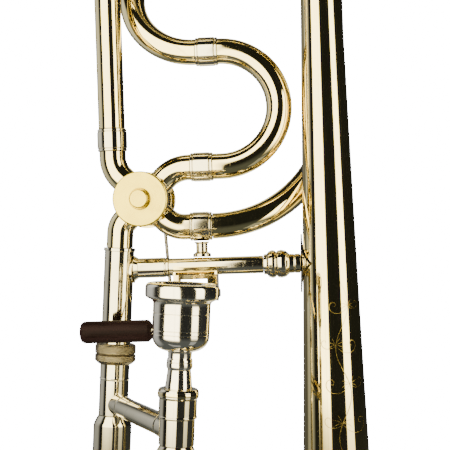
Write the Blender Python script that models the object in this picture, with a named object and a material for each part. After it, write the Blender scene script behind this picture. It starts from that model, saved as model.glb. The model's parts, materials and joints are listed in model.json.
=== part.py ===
# Tenor trombone with an F attachment, hung upright: bell and hand slide down, mouthpiece up.
# Metres, +Z up. The bell section stands in the X-Z plane, the front of the valve faces -Y.
# The origin is on the neckpipe's axis, level with the bell brace, where the left hand holds it.

import bpy
import bmesh
from math import radians, degrees, sin, cos, tan, pi, sqrt, acos, atan2
from mathutils import Vector, Matrix

for old in list(bpy.data.objects):
    bpy.data.objects.remove(old, do_unlink=True)

# General fits
GAP = 0.0003                 # between two pieces that touch
SIDES = 12                   # round pieces
TUBE_SIDES = 12              # bent tubes
ARC_STEP = 18                # degrees of bend for each tube segment
LEAD = 0.0012                # straight end of a bent tube
WALL = 0.0005                # brass tube wall
EDGE = 0.0012                # chamfered edge of a turned piece
OVERCUT = 0.001              # how far a cutter passes through

# Places of the main tubes, seen from the front
BELL_X = 0.1243
GOOSENECK_X = -0.0013
ROTOR_X = 0.0169
ROTOR_Z = 0.0411
PORT_ANGLE = 45.0

# Bell: a cone that flares to its rim
BELL_RIM_Z = -0.340
BELL_TAIL_Z = 0.225
BELL_RIM_R = 0.108
BELL_WALL = 0.0006
BELL_CONE_R = 0.0152         # outer radius of the plain cone at z = 0
BELL_CONE_SLOPE = 0.02264
BELL_FLARE_TOP = -0.270      # seams between the bell's three pieces
BELL_THROAT_TOP = -0.120
BELL_FLARE_LENGTH = 0.080
BELL_FLARE_POWER = 3
BELL_SIDES = 32
RIM_WIRE_R = 0.0019
RIM_FLAT = 0.0011            # width of the flat that the rolled rim stands on

# Main tubing of the bell section
MAIN_R = 0.0078
GOOSE_FERRULE_Z = 0.0703
GOOSE_FERRULE_LENGTH = 0.0130
FERRULE_WALL = 0.0009        # how far a ferrule stands out from its tube
GOOSE_PORT_BEND = 0.0172
GOOSE_SLEEVE_Z = 0.190
MAIN_SLEEVE_TOP = 0.280
SLEEVE_WALL = 0.0006
SLEEVE_BEAD = 0.0008         # rolled bead at a slide sleeve's mouth
SLEEVE_BEAD_HEIGHT = 0.0020
TAIL_RING_HEIGHT = 0.0075    # collar of the bell's sleeve, and the shoulder above it
TAIL_SHOULDER_HEIGHT = 0.0105
MAIN_LEG_R = 0.00745
BELL_LEG_R = 0.0089
MAIN_LEG_INSERT = 0.048
MAIN_BOW_RISE = 0.0125       # from the sleeves' top to where the bow starts
MAIN_BRACE_R = 0.0035
MAIN_BRACE_LOW = 0.0022      # brace's surface to the bow's end
UPPER_BRACE_Z = 0.180
UPPER_BRACE_R = 0.0042
UPPER_BRACE_FLARE = 0.0018
STAY_FOOT = 0.0022           # length of a stay's flared foot
KNOP = 0.0012                # how far a stay's middle knop stands out
KNOP_HALF = 0.0030
KNOP_SLOPE = 0.0010

# Rotary valve, its own axis pointing at the front
CASING_SIDES = 20
CASING_R = 0.0146
CASING_BORE_R = 0.0131
CASING_FRONT = 0.0142
CASING_BACK = -0.0130
FLANGE_R = 0.0169
FLANGE_THICK = 0.0035
NIPPLE_END = 0.0156          # port nipples, from the valve's axis
CAP_R = 0.0159
CAP_FRONT = 0.0203
CAP_SKIN = 0.0014
CAP_BOSS_R = 0.0062
CAP_BOSS_FACE_R = 0.0048
CAP_BOSS_ROUND = 0.0008
CAP_BOSS_HEIGHT = 0.0058
ROTOR_R = 0.0127
ROTOR_HALF = 0.0108
ROTOR_PASSAGE_R = 0.0064
ROTOR_PASSAGE_OFFSET = 0.0092
SPINDLE_R = 0.0028
BEARING_THICK = 0.0028
BEARING_BOSS_R = 0.0052      # raised centre of the bearing plate, and the stop arm's hub
ROTOR_STEP = 0.0020          # spindle's shoulder
ROTOR_STEP_HEIGHT = 0.0008
ROTOR_NOSE = 0.0030          # front spindle beyond the casing
STOP_ARM_R = 0.0110          # spindle to link pin
STOP_ARM_THICK = 0.0030
STOP_ARM_BACK = 0.0046       # spindle end to the bearing plate
STOP_ARM_HALF = 0.0021
STOP_PIN_R = 0.0026
STOP_PIN = 0.0022
STOP_BLOCK_LEFT = -0.0150    # the stop block and its bumpers, from the valve's axis
STOP_BLOCK_RIGHT = -0.0062
STOP_BLOCK_HALF = 0.0040
STOP_BLOCK_HIGH = 0.0026
STOP_BUMPER_X = -0.0095
STOP_BUMPER_APART = 0.0018
STOP_BUMPER_R = 0.0013
STOP_BUMPER_HIGH = 0.0020
ARM_START = -45.0            # angle of the stop arm at rest

# F loop
F_R = 0.0076
F_PORT_BEND = 0.0204
F_FERRULE_LENGTH = 0.0135
F_U_BEND = 0.0346
F_U_TILT = 6.5               # the U leans back by this
F_U_RUN = 0.0050
F_TOP_RUN = 0.0006
F_S_BEND = 0.0380
F_S_LEAN = 21.0              # the swept bend leans back by this, then stands up
F_S_EASE = 0.0400
F_LOWER_BACK = 3.0           # the lower elbow and ferrule head back by this
F_LOWER_PORT_BEND = 0.0160
F_LOWER_RUN = 0.0026
F_LOWER_FIRST_BEND = 0.0621  # the branch swings back and climbs at once
F_LOWER_SWING = 26.9
F_LOWER_CLIMB = 29.2
F_LOWER_MIDDLE_RUN = 0.0016
F_LOWER_BEND = 0.0758
F_SLEEVE_Z = 0.184
F_SLEEVE_TOP = 0.236
F_LEG_R = 0.0070
F_LEG_INSERT = 0.048
F_BOW_RISE = 0.0110
STAY_R = 0.0028
STAY_FLARE = 0.0008
STAY_Z = 0.206

# Bell brace, low, between the neckpipe and the bell
BRACE_Z = 0.0008
BRACE_LEFT_R = 0.0059
BRACE_R = 0.0052
BRACE_JOINT_X = 0.0283
BRACE_COLLAR_X = 0.0858
BRACE_COLLAR_LENGTH = 0.0148
BRACE_COLLAR_R = 0.0083
BRACE_SLEEVE_R = 0.0057
SADDLE_THICK = 0.0010
BELL_SADDLE_HALF = 0.0170
BELL_SADDLE_WIDE = 0.0120
NECK_SADDLE_HALF = 0.0072
POST_X = 0.0497
POST_R = 0.0034
POST_FOOT_R = 0.0053

# Neckpipe and hand slide, about the neck's axis, which leans from the bell's
NECK_TILT = 4.3
NECK_TOP = 0.0132
NECK_BOTTOM = -0.0431
NECK_R = 0.0087
NECK_BEAD_R = 0.0093
NECK_BEAD_HEIGHT = 0.0018
NUT_TOP = -0.0434
NUT_LENGTH = 0.0117
NUT_R = 0.0120
TENON_R = 0.0086
SHOULDER_Z = -0.0855
SHOULDER_HEIGHT = 0.0057
SLIDE_SPACING = 0.0881
SLIDE_TURN = 58.3
BARREL_R = 0.01125
BARREL_WALL = 0.0010
BARREL_BOTTOM = -0.178
INNER_R = 0.0071
INNER_BOTTOM = -0.722
LEADPIPE_LENGTH = 0.165
OUTER_R = 0.0080
OUTER_TOP = -0.102
OUTER_BOTTOM = -0.736
INNER_BRACE_Z = -0.0785
INNER_BRACE_R = 0.0061
OUTER_BRACE_Z = -0.204
OUTER_BRACE_R = 0.0054
OUTER_SADDLE_HEIGHT = 0.0300
BRACE_RING_X = 0.0165        # a turned ring this far from each tube's axis
BRACE_RING_HALF = 0.0008
BRACE_RING_HEIGHT = 0.0004
OUTER_FERRULE_WALL = 0.0009
BOW_FERRULE_LENGTH = 0.0170
BOW_FERRULE_RISE = 0.0040
BUMPER_R = 0.0080
BUMPER_LENGTH = 0.0110
SOCKET_LENGTH = 0.0060
LOCK_HEIGHT = 0.0120
LOCK_LUG = 0.0090
LOCK_CLEARANCE = 0.0005
LOCK_RISE = 0.0032           # ring's lower edge above the barrel's end
LOCK_WALL = 0.0014
LOCK_TAB_HALF = 0.0030
LOCK_TAB_OUT = 0.0045
LUG_WALL = 0.0036            # catch on the outer slide
LUG_STEP = 0.0014
LUG_ROOT = 0.0040
BARREL_BAND = 0.0004
BARREL_BAND_HEIGHT = 0.0028

# Mouthpiece and its receiver
RECEIVER_TOP = -0.0560
RECEIVER_BEAD_R = 0.0107
RECEIVER_BEAD = 0.0051
RECEIVER_R = 0.0100
RECEIVER_STEP_Z = -0.0704
RECEIVER_LOW_R = 0.0093
MOUTH_RIM_TOP = -0.0013
MOUTH_RIM_R = 0.0194
MOUTH_RIM_HEIGHT = 0.0085
MOUTH_CUP_R = 0.0150
MOUTH_CUP_STRAIGHT = 0.0272  # rim top to where the cup starts to close
MOUTH_NECK_R = 0.0063
MOUTH_NECK_AT = 0.0352
MOUTH_SHANK_R = 0.0071
MOUTH_TIP_R = 0.0063
MOUTH_INSERT = 0.0260
MOUTH_THROAT_R = 0.0034
MOUTH_BITE_R = 0.0128
MOUTH_CUP_DEPTH = 0.0250

# Thumb lever of the valve
LEVER_Y = -0.0010
LEVER_Z = -0.0150
LEVER_BARREL_R = 0.0030
LEVER_REAR = 0.0264
LEVER_TURN = 34.3
LEVER_PIN_X = 0.0280
AXLE_R = 0.0012
BRACKET_X0 = 0.0330
BRACKET_X1 = 0.0586
BRACKET_SKIN = 0.0013
BRACKET_DEPTH = 0.0205       # how far it hangs below the brace's axis
BRACKET_HALF = 0.0072
BRACKET_APRON_TOP = 0.0046   # these heights are below the brace's axis
BRACKET_APRON_LOW = 0.0132
BRACKET_SADDLE_LOW = 0.0012
BRACKET_CHEEK_SIDE = 0.0128
ROLLER_X0 = -0.0167
ROLLER_X1 = 0.0235
ROLLER_Y = -0.0370
ROLLER_Z = -0.0327
ROLLER_R = 0.0062
LEVER_ROD_R = 0.0019
LINK_ROD_R = 0.00107
EYE_R = 0.0028               # link rod's eyes
EYE_HALF = 0.0012
LOW_EYE_HALF = 0.0014
AXLE_HEAD_R = 0.0022
AXLE_HEAD = 0.0014
SPRING_TURNS = 4
SPRING_PITCH = 0.0012
SPRING_WIRE_R = 0.00036

# Water key on the slide bow
KEY_OFFSET = 0.0130          # nipple to pivot
KEY_TOUCH = 0.0170           # pivot to finger end
KEY_NIPPLE = 0.0030
KEY_PAD = 0.0013
KEY_HEAD = 0.0016
KEY_HEAD_R = 0.0036
KEY_ARM_R = 0.0013
KEY_POST = 0.0060
KEY_BARREL_R = 0.0022
KEY_NIPPLE_R = 0.0024
KEY_STRIP_START = 0.0024     # from the hinge post's axis
KEY_STRIP_HALF = 0.0012
KEY_STRIP_THICK = 0.0010


# Colours, from the lacquered brass, nickel silver, silver plate, wood, cork and rubber

def material(name, colour, roughness, metallic):
    made = bpy.data.materials.new(name)
    made.use_nodes = True
    shader = made.node_tree.nodes["Principled BSDF"]
    shader.inputs["Base Color"].default_value = (*colour, 1.0)
    shader.inputs["Roughness"].default_value = roughness
    shader.inputs["Metallic"].default_value = metallic
    return made


FINISHES = {
    "brass": ((0.80, 0.66, 0.36), 0.12, 1.0),
    "nickel": ((0.78, 0.74, 0.66), 0.12, 1.0),
    "silver": ((0.86, 0.84, 0.82), 0.08, 1.0),
    "steel": ((0.35, 0.34, 0.32), 0.30, 1.0),
    "wood": ((0.060, 0.022, 0.016), 0.35, 0.0),
    "cork": ((0.48, 0.32, 0.18), 0.80, 0.0),
    "rubber": ((0.03, 0.03, 0.03), 0.60, 0.0),
}


def finish(piece, kind):
    """Its own material, smooth shading with sharp edges kept, and a place in the scene."""
    colour, roughness, metallic = FINISHES[kind]
    piece.data.materials.append(material(piece.name, colour, roughness, metallic))
    if piece.type == "MESH":
        piece.data.shade_smooth()
        piece.data.set_sharp_from_angle(angle=radians(32))
    return piece


def link(piece, parent=None, at=(0, 0, 0), turn=(0, 0, 0)):
    bpy.context.scene.collection.objects.link(piece)
    piece.location = at
    piece.rotation_euler = [radians(angle) for angle in turn]
    piece.parent = parent
    return piece


def axis_empty(name, parent=None, at=(0, 0, 0), turn=(0, 0, 0)):
    return link(bpy.data.objects.new(name, None), parent, at, turn)


# Turned pieces

def turned_mesh(name, outline, sides=SIDES, solid=False):
    """Spins an outline of (radius, height) points about Z. A solid one starts and ends on the axis."""
    bm = bmesh.new()
    points = [bm.verts.new((radius, 0, height)) for radius, height in outline]
    edges = [bm.edges.new(pair) for pair in zip(points, points[1:])]
    if not solid:
        edges.append(bm.edges.new((points[-1], points[0])))
    bmesh.ops.spin(bm, geom=points + edges, cent=(0, 0, 0), axis=(0, 0, 1),
                   angle=2 * pi, steps=sides, use_merge=True)
    bmesh.ops.remove_doubles(bm, verts=bm.verts, dist=1e-7)
    bmesh.ops.recalc_face_normals(bm, faces=bm.faces)
    mesh = bpy.data.meshes.new(name)
    bm.to_mesh(mesh)
    bm.free()
    return mesh


def turned(name, outline, kind, parent=None, at=(0, 0, 0), turn=(0, 0, 0), sides=SIDES, solid=False):
    piece = bpy.data.objects.new(name, turned_mesh(name, outline, sides, solid))
    return finish(link(piece, parent, at, turn), kind)


def tube_outline(outer, inner, bottom, top, bead=0.0, bead_height=0.0015, bottom_bead=False):
    """A plain tube, with an optional raised bead at its top and bottom ends."""
    points = [(inner, bottom)]
    if bead and bottom_bead:
        points += [(outer + bead, bottom), (outer + bead, bottom + bead_height), (outer, bottom + bead_height)]
    else:
        points += [(outer, bottom)]
    if bead:
        points += [(outer, top - bead_height), (outer + bead, top - bead_height), (outer + bead, top)]
    else:
        points += [(outer, top)]
    return points + [(inner, top)]


def placed(name, shape, kind, parent=None):
    """A piece from a mesh and the matrix that places it."""
    mesh, place = shape
    mesh.transform(place)
    return finish(link(bpy.data.objects.new(name, mesh), parent), kind)


def add(piece, name, shape, parent=None):
    """Joins a placed mesh to a piece as one body."""
    mesh, place = shape
    mesh.transform(place)
    return combine(piece, tool(name, mesh, parent), "UNION")


def along(start, direction):
    """Places a mesh that runs up its own Z so that it runs along a direction."""
    spin = UP.rotation_difference(Vector(direction)).to_matrix().to_4x4()
    return Matrix.Translation(start) @ spin


def rod_outline(stations):
    """A solid turned piece from (height, radius) stations, closed on the axis at both ends."""
    return [(0, stations[0][0])] + [(radius, height) for height, radius in stations] + [(0, stations[-1][0])]


# Bent tubes

def route(start, heading, moves, step=ARC_STEP):
    """Points along straight runs, ("run", length), and bends, ("turn", radius, new heading)."""
    place = Vector(start)
    heading = Vector(heading).normalized()
    points = [place.copy()]
    for move in moves:
        if move[0] == "run":
            place = place + heading * move[1]
            points.append(place.copy())
            continue
        radius = move[1]
        aim = Vector(move[2]).normalized()
        axis = heading.cross(aim).normalized()
        angle = acos(max(-1.0, min(1.0, heading.dot(aim))))
        centre = place + axis.cross(heading) * radius
        count = max(2, round(degrees(angle) / step))
        for index in range(1, count + 1):
            spin = Matrix.Rotation(angle * index / count, 3, axis)
            points.append(centre + spin @ (place - centre))
        place = points[-1].copy()
        heading = aim
    return points


def cornered(start, corner, end, radius):
    """Points from start to end with one bend where their straight lines cross."""
    first = (corner - start).normalized()
    second = (end - corner).normalized()
    tangent = radius * tan(first.angle(second) / 2)
    return route(start, first, [("run", (corner - start).length - tangent), ("turn", radius, second),
                                ("run", (end - corner).length - tangent)])


def swept(name, points, radius, kind, wall=None, sides=TUBE_SIDES, parent=None, radii=None,
          at=(0, 0, 0), turn=(0, 0, 0)):
    """A round tube along the points; solid with filled ends when it has no wall."""
    curve = bpy.data.curves.new(name, "CURVE")
    curve.dimensions = "3D"
    curve.bevel_depth = radius
    curve.bevel_resolution = (sides - 4) // 2
    curve.use_fill_caps = wall is None
    spline = curve.splines.new("POLY")
    spline.points.add(len(points) - 1)
    for index, (slot, point) in enumerate(zip(spline.points, points)):
        slot.co = (*point, 1.0)
        slot.radius = radii[index] if radii else 1.0
    guide = bpy.data.objects.new(name + "_guide", curve)
    bpy.context.scene.collection.objects.link(guide)
    mesh = bpy.data.meshes.new_from_object(guide.evaluated_get(bpy.context.evaluated_depsgraph_get()))
    bpy.data.objects.remove(guide, do_unlink=True)
    mesh.name = name
    weld(mesh)
    piece = finish(link(bpy.data.objects.new(name, mesh), parent, at, turn), kind)
    if wall is not None:
        shell = piece.modifiers.new("wall", "SOLIDIFY")
        shell.thickness = wall
        shell.offset = -1
        shell.use_rim = True
        shell.use_even_offset = True
    return piece


def weld(mesh):
    bm = bmesh.new()
    bm.from_mesh(mesh)
    bmesh.ops.remove_doubles(bm, verts=bm.verts, dist=1e-7)
    bmesh.ops.recalc_face_normals(bm, faces=bm.faces)
    bm.to_mesh(mesh)
    bm.free()
    mesh.materials.clear()


# Boxes, prisms and cuts

def prism_mesh(name, corners, low, high):
    """An outline of (x, y) corners, extruded along Z from low to high."""
    bm = bmesh.new()
    face = bm.faces.new([bm.verts.new((x, y, low)) for x, y in corners])
    lifted = bmesh.ops.extrude_face_region(bm, geom=[face])
    moved = [item for item in lifted["geom"] if isinstance(item, bmesh.types.BMVert)]
    bmesh.ops.translate(bm, verts=moved, vec=(0, 0, high - low))
    bmesh.ops.recalc_face_normals(bm, faces=bm.faces)
    mesh = bpy.data.meshes.new(name)
    bm.to_mesh(mesh)
    bm.free()
    return mesh


def box_corners(x0, y0, x1, y1):
    return [(x0, y0), (x1, y0), (x1, y1), (x0, y1)]


def tool(name, mesh, parent=None, at=(0, 0, 0), turn=(0, 0, 0)):
    """A shape that only cuts or joins another one."""
    piece = link(bpy.data.objects.new(name, mesh), parent, at, turn)
    piece.hide_render = True
    piece.display_type = "WIRE"
    return piece


def combine(piece, other, operation):
    step = piece.modifiers.new(other.name, "BOOLEAN")
    step.object = other
    step.operation = operation
    step.solver = "EXACT"
    return piece


def plain_rod(radius, low, high):
    return rod_outline([(low, radius), (high, radius)])


# Directions

RIGHT = Vector((1, 0, 0))
LEFT = Vector((-1, 0, 0))
UP = Vector((0, 0, 1))
DOWN = Vector((0, 0, -1))
BACK = Vector((0, 1, 0))


def diagonal(right, up):
    """Unit direction of a valve port, seen from the front."""
    angle = radians(PORT_ANGLE)
    return Vector((right * cos(angle), 0, up * sin(angle)))


def port_start(right, up):
    """Where a port's tube starts, clear of the casing's nipple."""
    return Vector((ROTOR_X, 0, ROTOR_Z)) + diagonal(right, up) * (NIPPLE_END + GAP)


# Bell

def bell_radius(z):
    reach = z - BELL_RIM_Z
    cone = BELL_CONE_R - BELL_CONE_SLOPE * z
    rim_cone = BELL_CONE_R - BELL_CONE_SLOPE * BELL_RIM_Z
    flare = (BELL_RIM_R - rim_cone) * (BELL_FLARE_LENGTH / (reach + BELL_FLARE_LENGTH)) ** BELL_FLARE_POWER
    return cone + flare


def bell_piece(name, heights, rim=()):
    """One soldered length of the bell between the first and last height."""
    outside = [(bell_radius(z), z) for z in reversed(heights)]
    inside = [(bell_radius(z) - BELL_WALL, z) for z in heights]
    turned(name, outside + list(rim) + inside, "brass", at=(BELL_X, 0, 0), sides=BELL_SIDES)


def heights_between(low, high, count, crowd=1.0):
    """Heights from low to high, crowded towards the low end."""
    return [low + (high - low) * (index / count) ** crowd for index in range(count + 1)]


def make_bell():
    """The flare with its edge rolled over a wire, flat where it stands, the throat and the stem."""
    rim_r = BELL_RIM_R - RIM_WIRE_R
    rolled = []
    for angle in (45, -10):
        turn = radians(angle)
        rolled.append((rim_r + RIM_WIRE_R * cos(turn), BELL_RIM_Z + RIM_WIRE_R * (1 + sin(turn))))
    rolled += [(rim_r + RIM_FLAT / 2, BELL_RIM_Z), (rim_r - RIM_FLAT / 2, BELL_RIM_Z)]
    rolled.append((rim_r - RIM_WIRE_R * 0.95, BELL_RIM_Z + RIM_WIRE_R * 0.75))
    bell_piece("bell", heights_between(BELL_RIM_Z + RIM_WIRE_R * 2, BELL_FLARE_TOP, 4, 1.5), rolled)
    bell_piece("bell_throat", heights_between(BELL_FLARE_TOP + GAP, BELL_THROAT_TOP, 3))
    bell_piece("bell_stem", heights_between(BELL_THROAT_TOP + GAP, BELL_TAIL_Z, 2))


def make_bell_sleeve():
    """Nickel sleeve at the bell's tail that takes the tuning slide's wide leg."""
    inner = BELL_LEG_R + GAP
    tail = bell_radius(BELL_TAIL_Z)
    low = BELL_TAIL_Z + GAP
    outline = [(inner, low), (tail + FERRULE_WALL * 0.6, low), (tail + FERRULE_WALL, low + EDGE),
               (tail + FERRULE_WALL, low + TAIL_RING_HEIGHT), (inner + SLEEVE_WALL, low + TAIL_SHOULDER_HEIGHT)]
    outline += tube_outline(inner + SLEEVE_WALL, inner, low, MAIN_SLEEVE_TOP, SLEEVE_BEAD)[2:]
    turned("bell_slide_sleeve", outline, "nickel", at=(BELL_X, 0, 0))


# Gooseneck and main tuning slide

def make_gooseneck():
    port = port_start(-1, 1)
    ferrule_low = GOOSE_FERRULE_Z
    ferrule_top = ferrule_low + GOOSE_FERRULE_LENGTH
    away = diagonal(-1, 1)
    corner = port + away * ((GOOSENECK_X - port.x) / away.x)
    end = Vector((GOOSENECK_X, 0, ferrule_low - GAP))
    swept("gooseneck_elbow", cornered(port, corner, end, GOOSE_PORT_BEND), MAIN_R, "brass", wall=WALL)
    ferrule_r = MAIN_R + FERRULE_WALL
    outline = tube_outline(ferrule_r, MAIN_R - WALL, ferrule_low, ferrule_top, 0.0002, 0.0020, True)
    turned("gooseneck_ferrule", outline, "nickel", at=(GOOSENECK_X, 0, 0))
    tube = tube_outline(MAIN_R, MAIN_R - WALL, ferrule_top + GAP, GOOSE_SLEEVE_Z - GAP)
    turned("gooseneck_tube", tube, "brass", at=(GOOSENECK_X, 0, 0))


def slide_leg(radius, insert, rise):
    """A tuning slide's leg with the stop ferrule that joins it to the bow, from its sleeve's top."""
    stop_r = radius + GAP + SLEEVE_WALL
    outline = [(radius - WALL, -insert), (radius, -insert), (radius, GAP), (stop_r, GAP),
               (stop_r, rise - GAP), (radius - WALL, rise - GAP)]
    return turned_mesh("slide_leg", outline)


def make_main_tuning_slide():
    """Two nickel legs, a bow that widens towards the bell, and its brace."""
    slide = axis_empty("main_tuning_slide_axis", at=(GOOSENECK_X, 0, MAIN_SLEEVE_TOP))
    spread = BELL_X - GOOSENECK_X
    narrow = slide_leg(MAIN_LEG_R, MAIN_LEG_INSERT, MAIN_BOW_RISE), Matrix()
    wide = slide_leg(BELL_LEG_R, MAIN_LEG_INSERT, MAIN_BOW_RISE), Matrix.Translation((spread, 0, 0))
    legs = placed("main_slide_legs", narrow, "nickel", slide)
    add(legs, "main_slide_wide_leg", wide, slide)
    bend = spread / 2
    points = route((0, 0, MAIN_BOW_RISE), UP, [("run", LEAD), ("turn", bend, RIGHT),
                                               ("turn", bend, DOWN), ("run", LEAD)])
    count = len(points) - 1
    widening = BELL_LEG_R / MAIN_LEG_R
    radii = [1 + (widening - 1) * index / count for index in range(count + 1)]
    swept("main_slide_bow", points, MAIN_LEG_R + 0.0003, "brass", wall=WALL, parent=slide, radii=radii)
    reach = MAIN_LEG_R + SLEEVE_WALL * 0.5
    far = spread - BELL_LEG_R - SLEEVE_WALL * 0.5
    height = MAIN_BOW_RISE - MAIN_BRACE_R - MAIN_BRACE_LOW
    add(legs, "main_slide_brace", stay((reach, 0, height), (far, 0, height), MAIN_BRACE_R), slide)


def stay(start, end, radius, flare=EDGE, knop=0.0):
    """A straight turned brace between two places, flared at both ends, with an optional knop."""
    start = Vector(start)
    end = Vector(end)
    length = (end - start).length
    foot = min(STAY_FOOT, length * 0.22)
    stations = [(0, radius + flare), (foot * 0.4, radius + flare), (foot, radius)]
    if knop:
        half = length / 2
        wide = KNOP_HALF + KNOP_SLOPE
        stations += [(half - wide, radius), (half - KNOP_HALF, radius + knop),
                     (half + KNOP_HALF, radius + knop), (half + wide, radius)]
    stations += [(length - foot, radius), (length - foot * 0.4, radius + flare), (length, radius + flare)]
    return turned_mesh("stay", rod_outline(stations), 12, True), along(start, end - start)


def make_upper_brace():
    left = GOOSENECK_X + MAIN_R + GAP
    right = BELL_X - bell_radius(UPPER_BRACE_Z - UPPER_BRACE_R) - GAP
    brace = stay((left, 0, UPPER_BRACE_Z), (right, 0, UPPER_BRACE_Z), UPPER_BRACE_R, UPPER_BRACE_FLARE, KNOP)
    placed("upper_bell_brace", brace, "nickel")


# Rotary valve

def make_valve():
    valve = axis_empty("valve_axis", at=(ROTOR_X, 0, ROTOR_Z), turn=(90, 0, 0))
    make_casing(valve)
    make_cap(valve)
    make_rotor(valve)
    plate_top = CASING_BACK - GAP
    plate_low = plate_top - BEARING_THICK
    plate = [(SPINDLE_R + GAP, plate_low), (BEARING_BOSS_R, plate_low),
             (BEARING_BOSS_R + 0.0008, plate_low + 0.0008),
             (CASING_R - 0.0010, plate_low + 0.0008), (CASING_R - 0.0004, plate_top),
             (SPINDLE_R + GAP, plate_top)]
    make_stops(turned("valve_bearing_plate", plate, "brass", valve), valve, plate_low)


def make_casing(valve):
    """A bored drum with a back flange and four nipples for the tubes."""
    ledge = CASING_BACK + FLANGE_THICK
    body = rod_outline([(CASING_BACK, FLANGE_R), (ledge, FLANGE_R), (ledge, CASING_R),
                        (CASING_FRONT, CASING_R)])
    casing = turned("valve_casing", body, "brass", valve, sides=CASING_SIDES, solid=True)
    tubes = {"f_upper": (diagonal(1, 1), F_R), "neck_upper": (diagonal(-1, 1), MAIN_R),
             "neck_lower": (diagonal(-1, -1), MAIN_R), "f_lower": (diagonal(1, -1), F_R)}
    for name, (aim, radius) in tubes.items():
        nipple = turned_mesh("nipple", plain_rod(radius, CASING_BORE_R - 0.0030, NIPPLE_END), TUBE_SIDES, True)
        add(casing, name + "_nipple", (nipple, along((0, 0, 0), (aim.x, aim.z, 0))), valve)
    drum = turned_mesh("bore", plain_rod(CASING_BORE_R, CASING_BACK - OVERCUT, CASING_FRONT + OVERCUT),
                       CASING_SIDES, True)
    combine(casing, tool("casing_bore", drum, valve), "DIFFERENCE")
    for name, (aim, radius) in tubes.items():
        reach = plain_rod(radius - WALL * 2, CASING_BORE_R * 0.8, NIPPLE_END + 0.0010)
        port = turned_mesh("port", reach, TUBE_SIDES, True)
        port.transform(along((0, 0, 0), (aim.x, aim.z, 0)) @ Matrix.Rotation(pi / TUBE_SIDES, 4, "Z"))
        combine(casing, tool(name + "_port", port, valve), "DIFFERENCE")


def make_cap(valve):
    """Screwed front cap with a raised centre boss, hollow behind."""
    low = CASING_FRONT + GAP
    hollow = CAP_FRONT - CAP_SKIN
    boss_top = CAP_FRONT + CAP_BOSS_HEIGHT
    stations = [(low, CAP_R), (CAP_FRONT - 0.0008, CAP_R), (CAP_FRONT, CAP_R - 0.0008),
                (CAP_FRONT, CAP_BOSS_R), (boss_top - CAP_BOSS_ROUND, CAP_BOSS_FACE_R + CAP_BOSS_ROUND * 0.6),
                (boss_top, CAP_BOSS_FACE_R)]
    outside = [(0, boss_top)] + [(radius, height) for height, radius in reversed(stations)]
    inside = [(CASING_BORE_R, low), (CASING_BORE_R, hollow), (0, hollow)]
    turned("valve_cap", outside + inside, "brass", valve, sides=20, solid=True)


def make_rotor(valve):
    """The turning core: a drum cut by two air passages, on a spindle through the back."""
    tail = CASING_BACK - GAP - BEARING_THICK - STOP_ARM_BACK - GAP
    step_low = -ROTOR_HALF - ROTOR_STEP_HEIGHT
    step_r = SPINDLE_R + ROTOR_STEP
    stations = [(tail, SPINDLE_R), (step_low, SPINDLE_R), (step_low, step_r),
                (-ROTOR_HALF, step_r), (-ROTOR_HALF, ROTOR_R), (ROTOR_HALF, ROTOR_R),
                (ROTOR_HALF, SPINDLE_R), (CASING_FRONT + ROTOR_NOSE, SPINDLE_R)]
    rotor = turned("rotor", rod_outline(stations), "brass", valve, sides=CASING_SIDES, solid=True)
    for side in (-1, 1):
        passage = turned_mesh("passage", plain_rod(ROTOR_PASSAGE_R, -0.02, 0.02), TUBE_SIDES, True)
        cutter = tool(f"passage_{side}", passage, valve, (side * ROTOR_PASSAGE_OFFSET, 0, 0), (90, 0, 0))
        combine(rotor, cutter, "DIFFERENCE")


def make_stops(bearing, valve, plate_low):
    """Stop arm on the spindle, and the fixed stop block with its two bumpers on the bearing plate."""
    hub_top = plate_low - 0.0008
    hub_low = plate_low - STOP_ARM_BACK
    hub = [(SPINDLE_R + GAP, hub_low), (BEARING_BOSS_R, hub_low), (BEARING_BOSS_R, hub_top),
           (SPINDLE_R + GAP, hub_top)]
    arm = turned("stop_arm", hub, "steel", valve)
    turn = radians(ARM_START)
    outward = Vector((cos(turn), sin(turn), 0))
    side = Vector((-sin(turn), cos(turn), 0)) * STOP_ARM_HALF
    far = outward * STOP_ARM_R
    near = outward * (BEARING_BOSS_R - 0.0010)
    corners = [near - side, far - side, far + side, near + side]
    bar = prism_mesh("bar", [(c.x, c.y) for c in corners], hub_low + 0.0004, hub_low + 0.0004 + STOP_ARM_THICK)
    combine(arm, tool("stop_arm_bar", bar, valve), "UNION")
    boss = turned_mesh("boss", plain_rod(STOP_PIN_R, hub_low - STOP_PIN, hub_low + STOP_ARM_THICK), 12, True)
    combine(arm, tool("stop_arm_boss", boss, valve, (far.x, far.y, 0)), "UNION")
    corners = box_corners(STOP_BLOCK_LEFT, -STOP_BLOCK_HALF, STOP_BLOCK_RIGHT, STOP_BLOCK_HALF)
    block = prism_mesh("stop_block", corners, plate_low - STOP_BLOCK_HIGH, plate_low + 0.0014)
    combine(bearing, tool("stop_block", block, valve), "UNION")
    for index, height in enumerate((-STOP_BUMPER_APART, STOP_BUMPER_APART)):
        end = plate_low - STOP_BLOCK_HIGH - STOP_BUMPER_HIGH
        rod = plain_rod(STOP_BUMPER_R, end, plate_low - STOP_BLOCK_HIGH / 2)
        bumper = turned_mesh("bumper", rod, 12, True)
        combine(bearing, tool(f"bumper_{index}", bumper, valve, (STOP_BUMPER_X, height, 0)), "UNION")


# F loop

def ferrule(start, end, radius):
    """A joint ferrule with a ring at each end, between two tube ends."""
    length = (end - start).length - 2 * GAP
    outline = tube_outline(radius + FERRULE_WALL, radius - WALL, 0, length, 0.0003, 0.0020, True)
    aim = (end - start).normalized()
    return turned_mesh("ferrule", outline), along(start + aim * GAP, aim)


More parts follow.
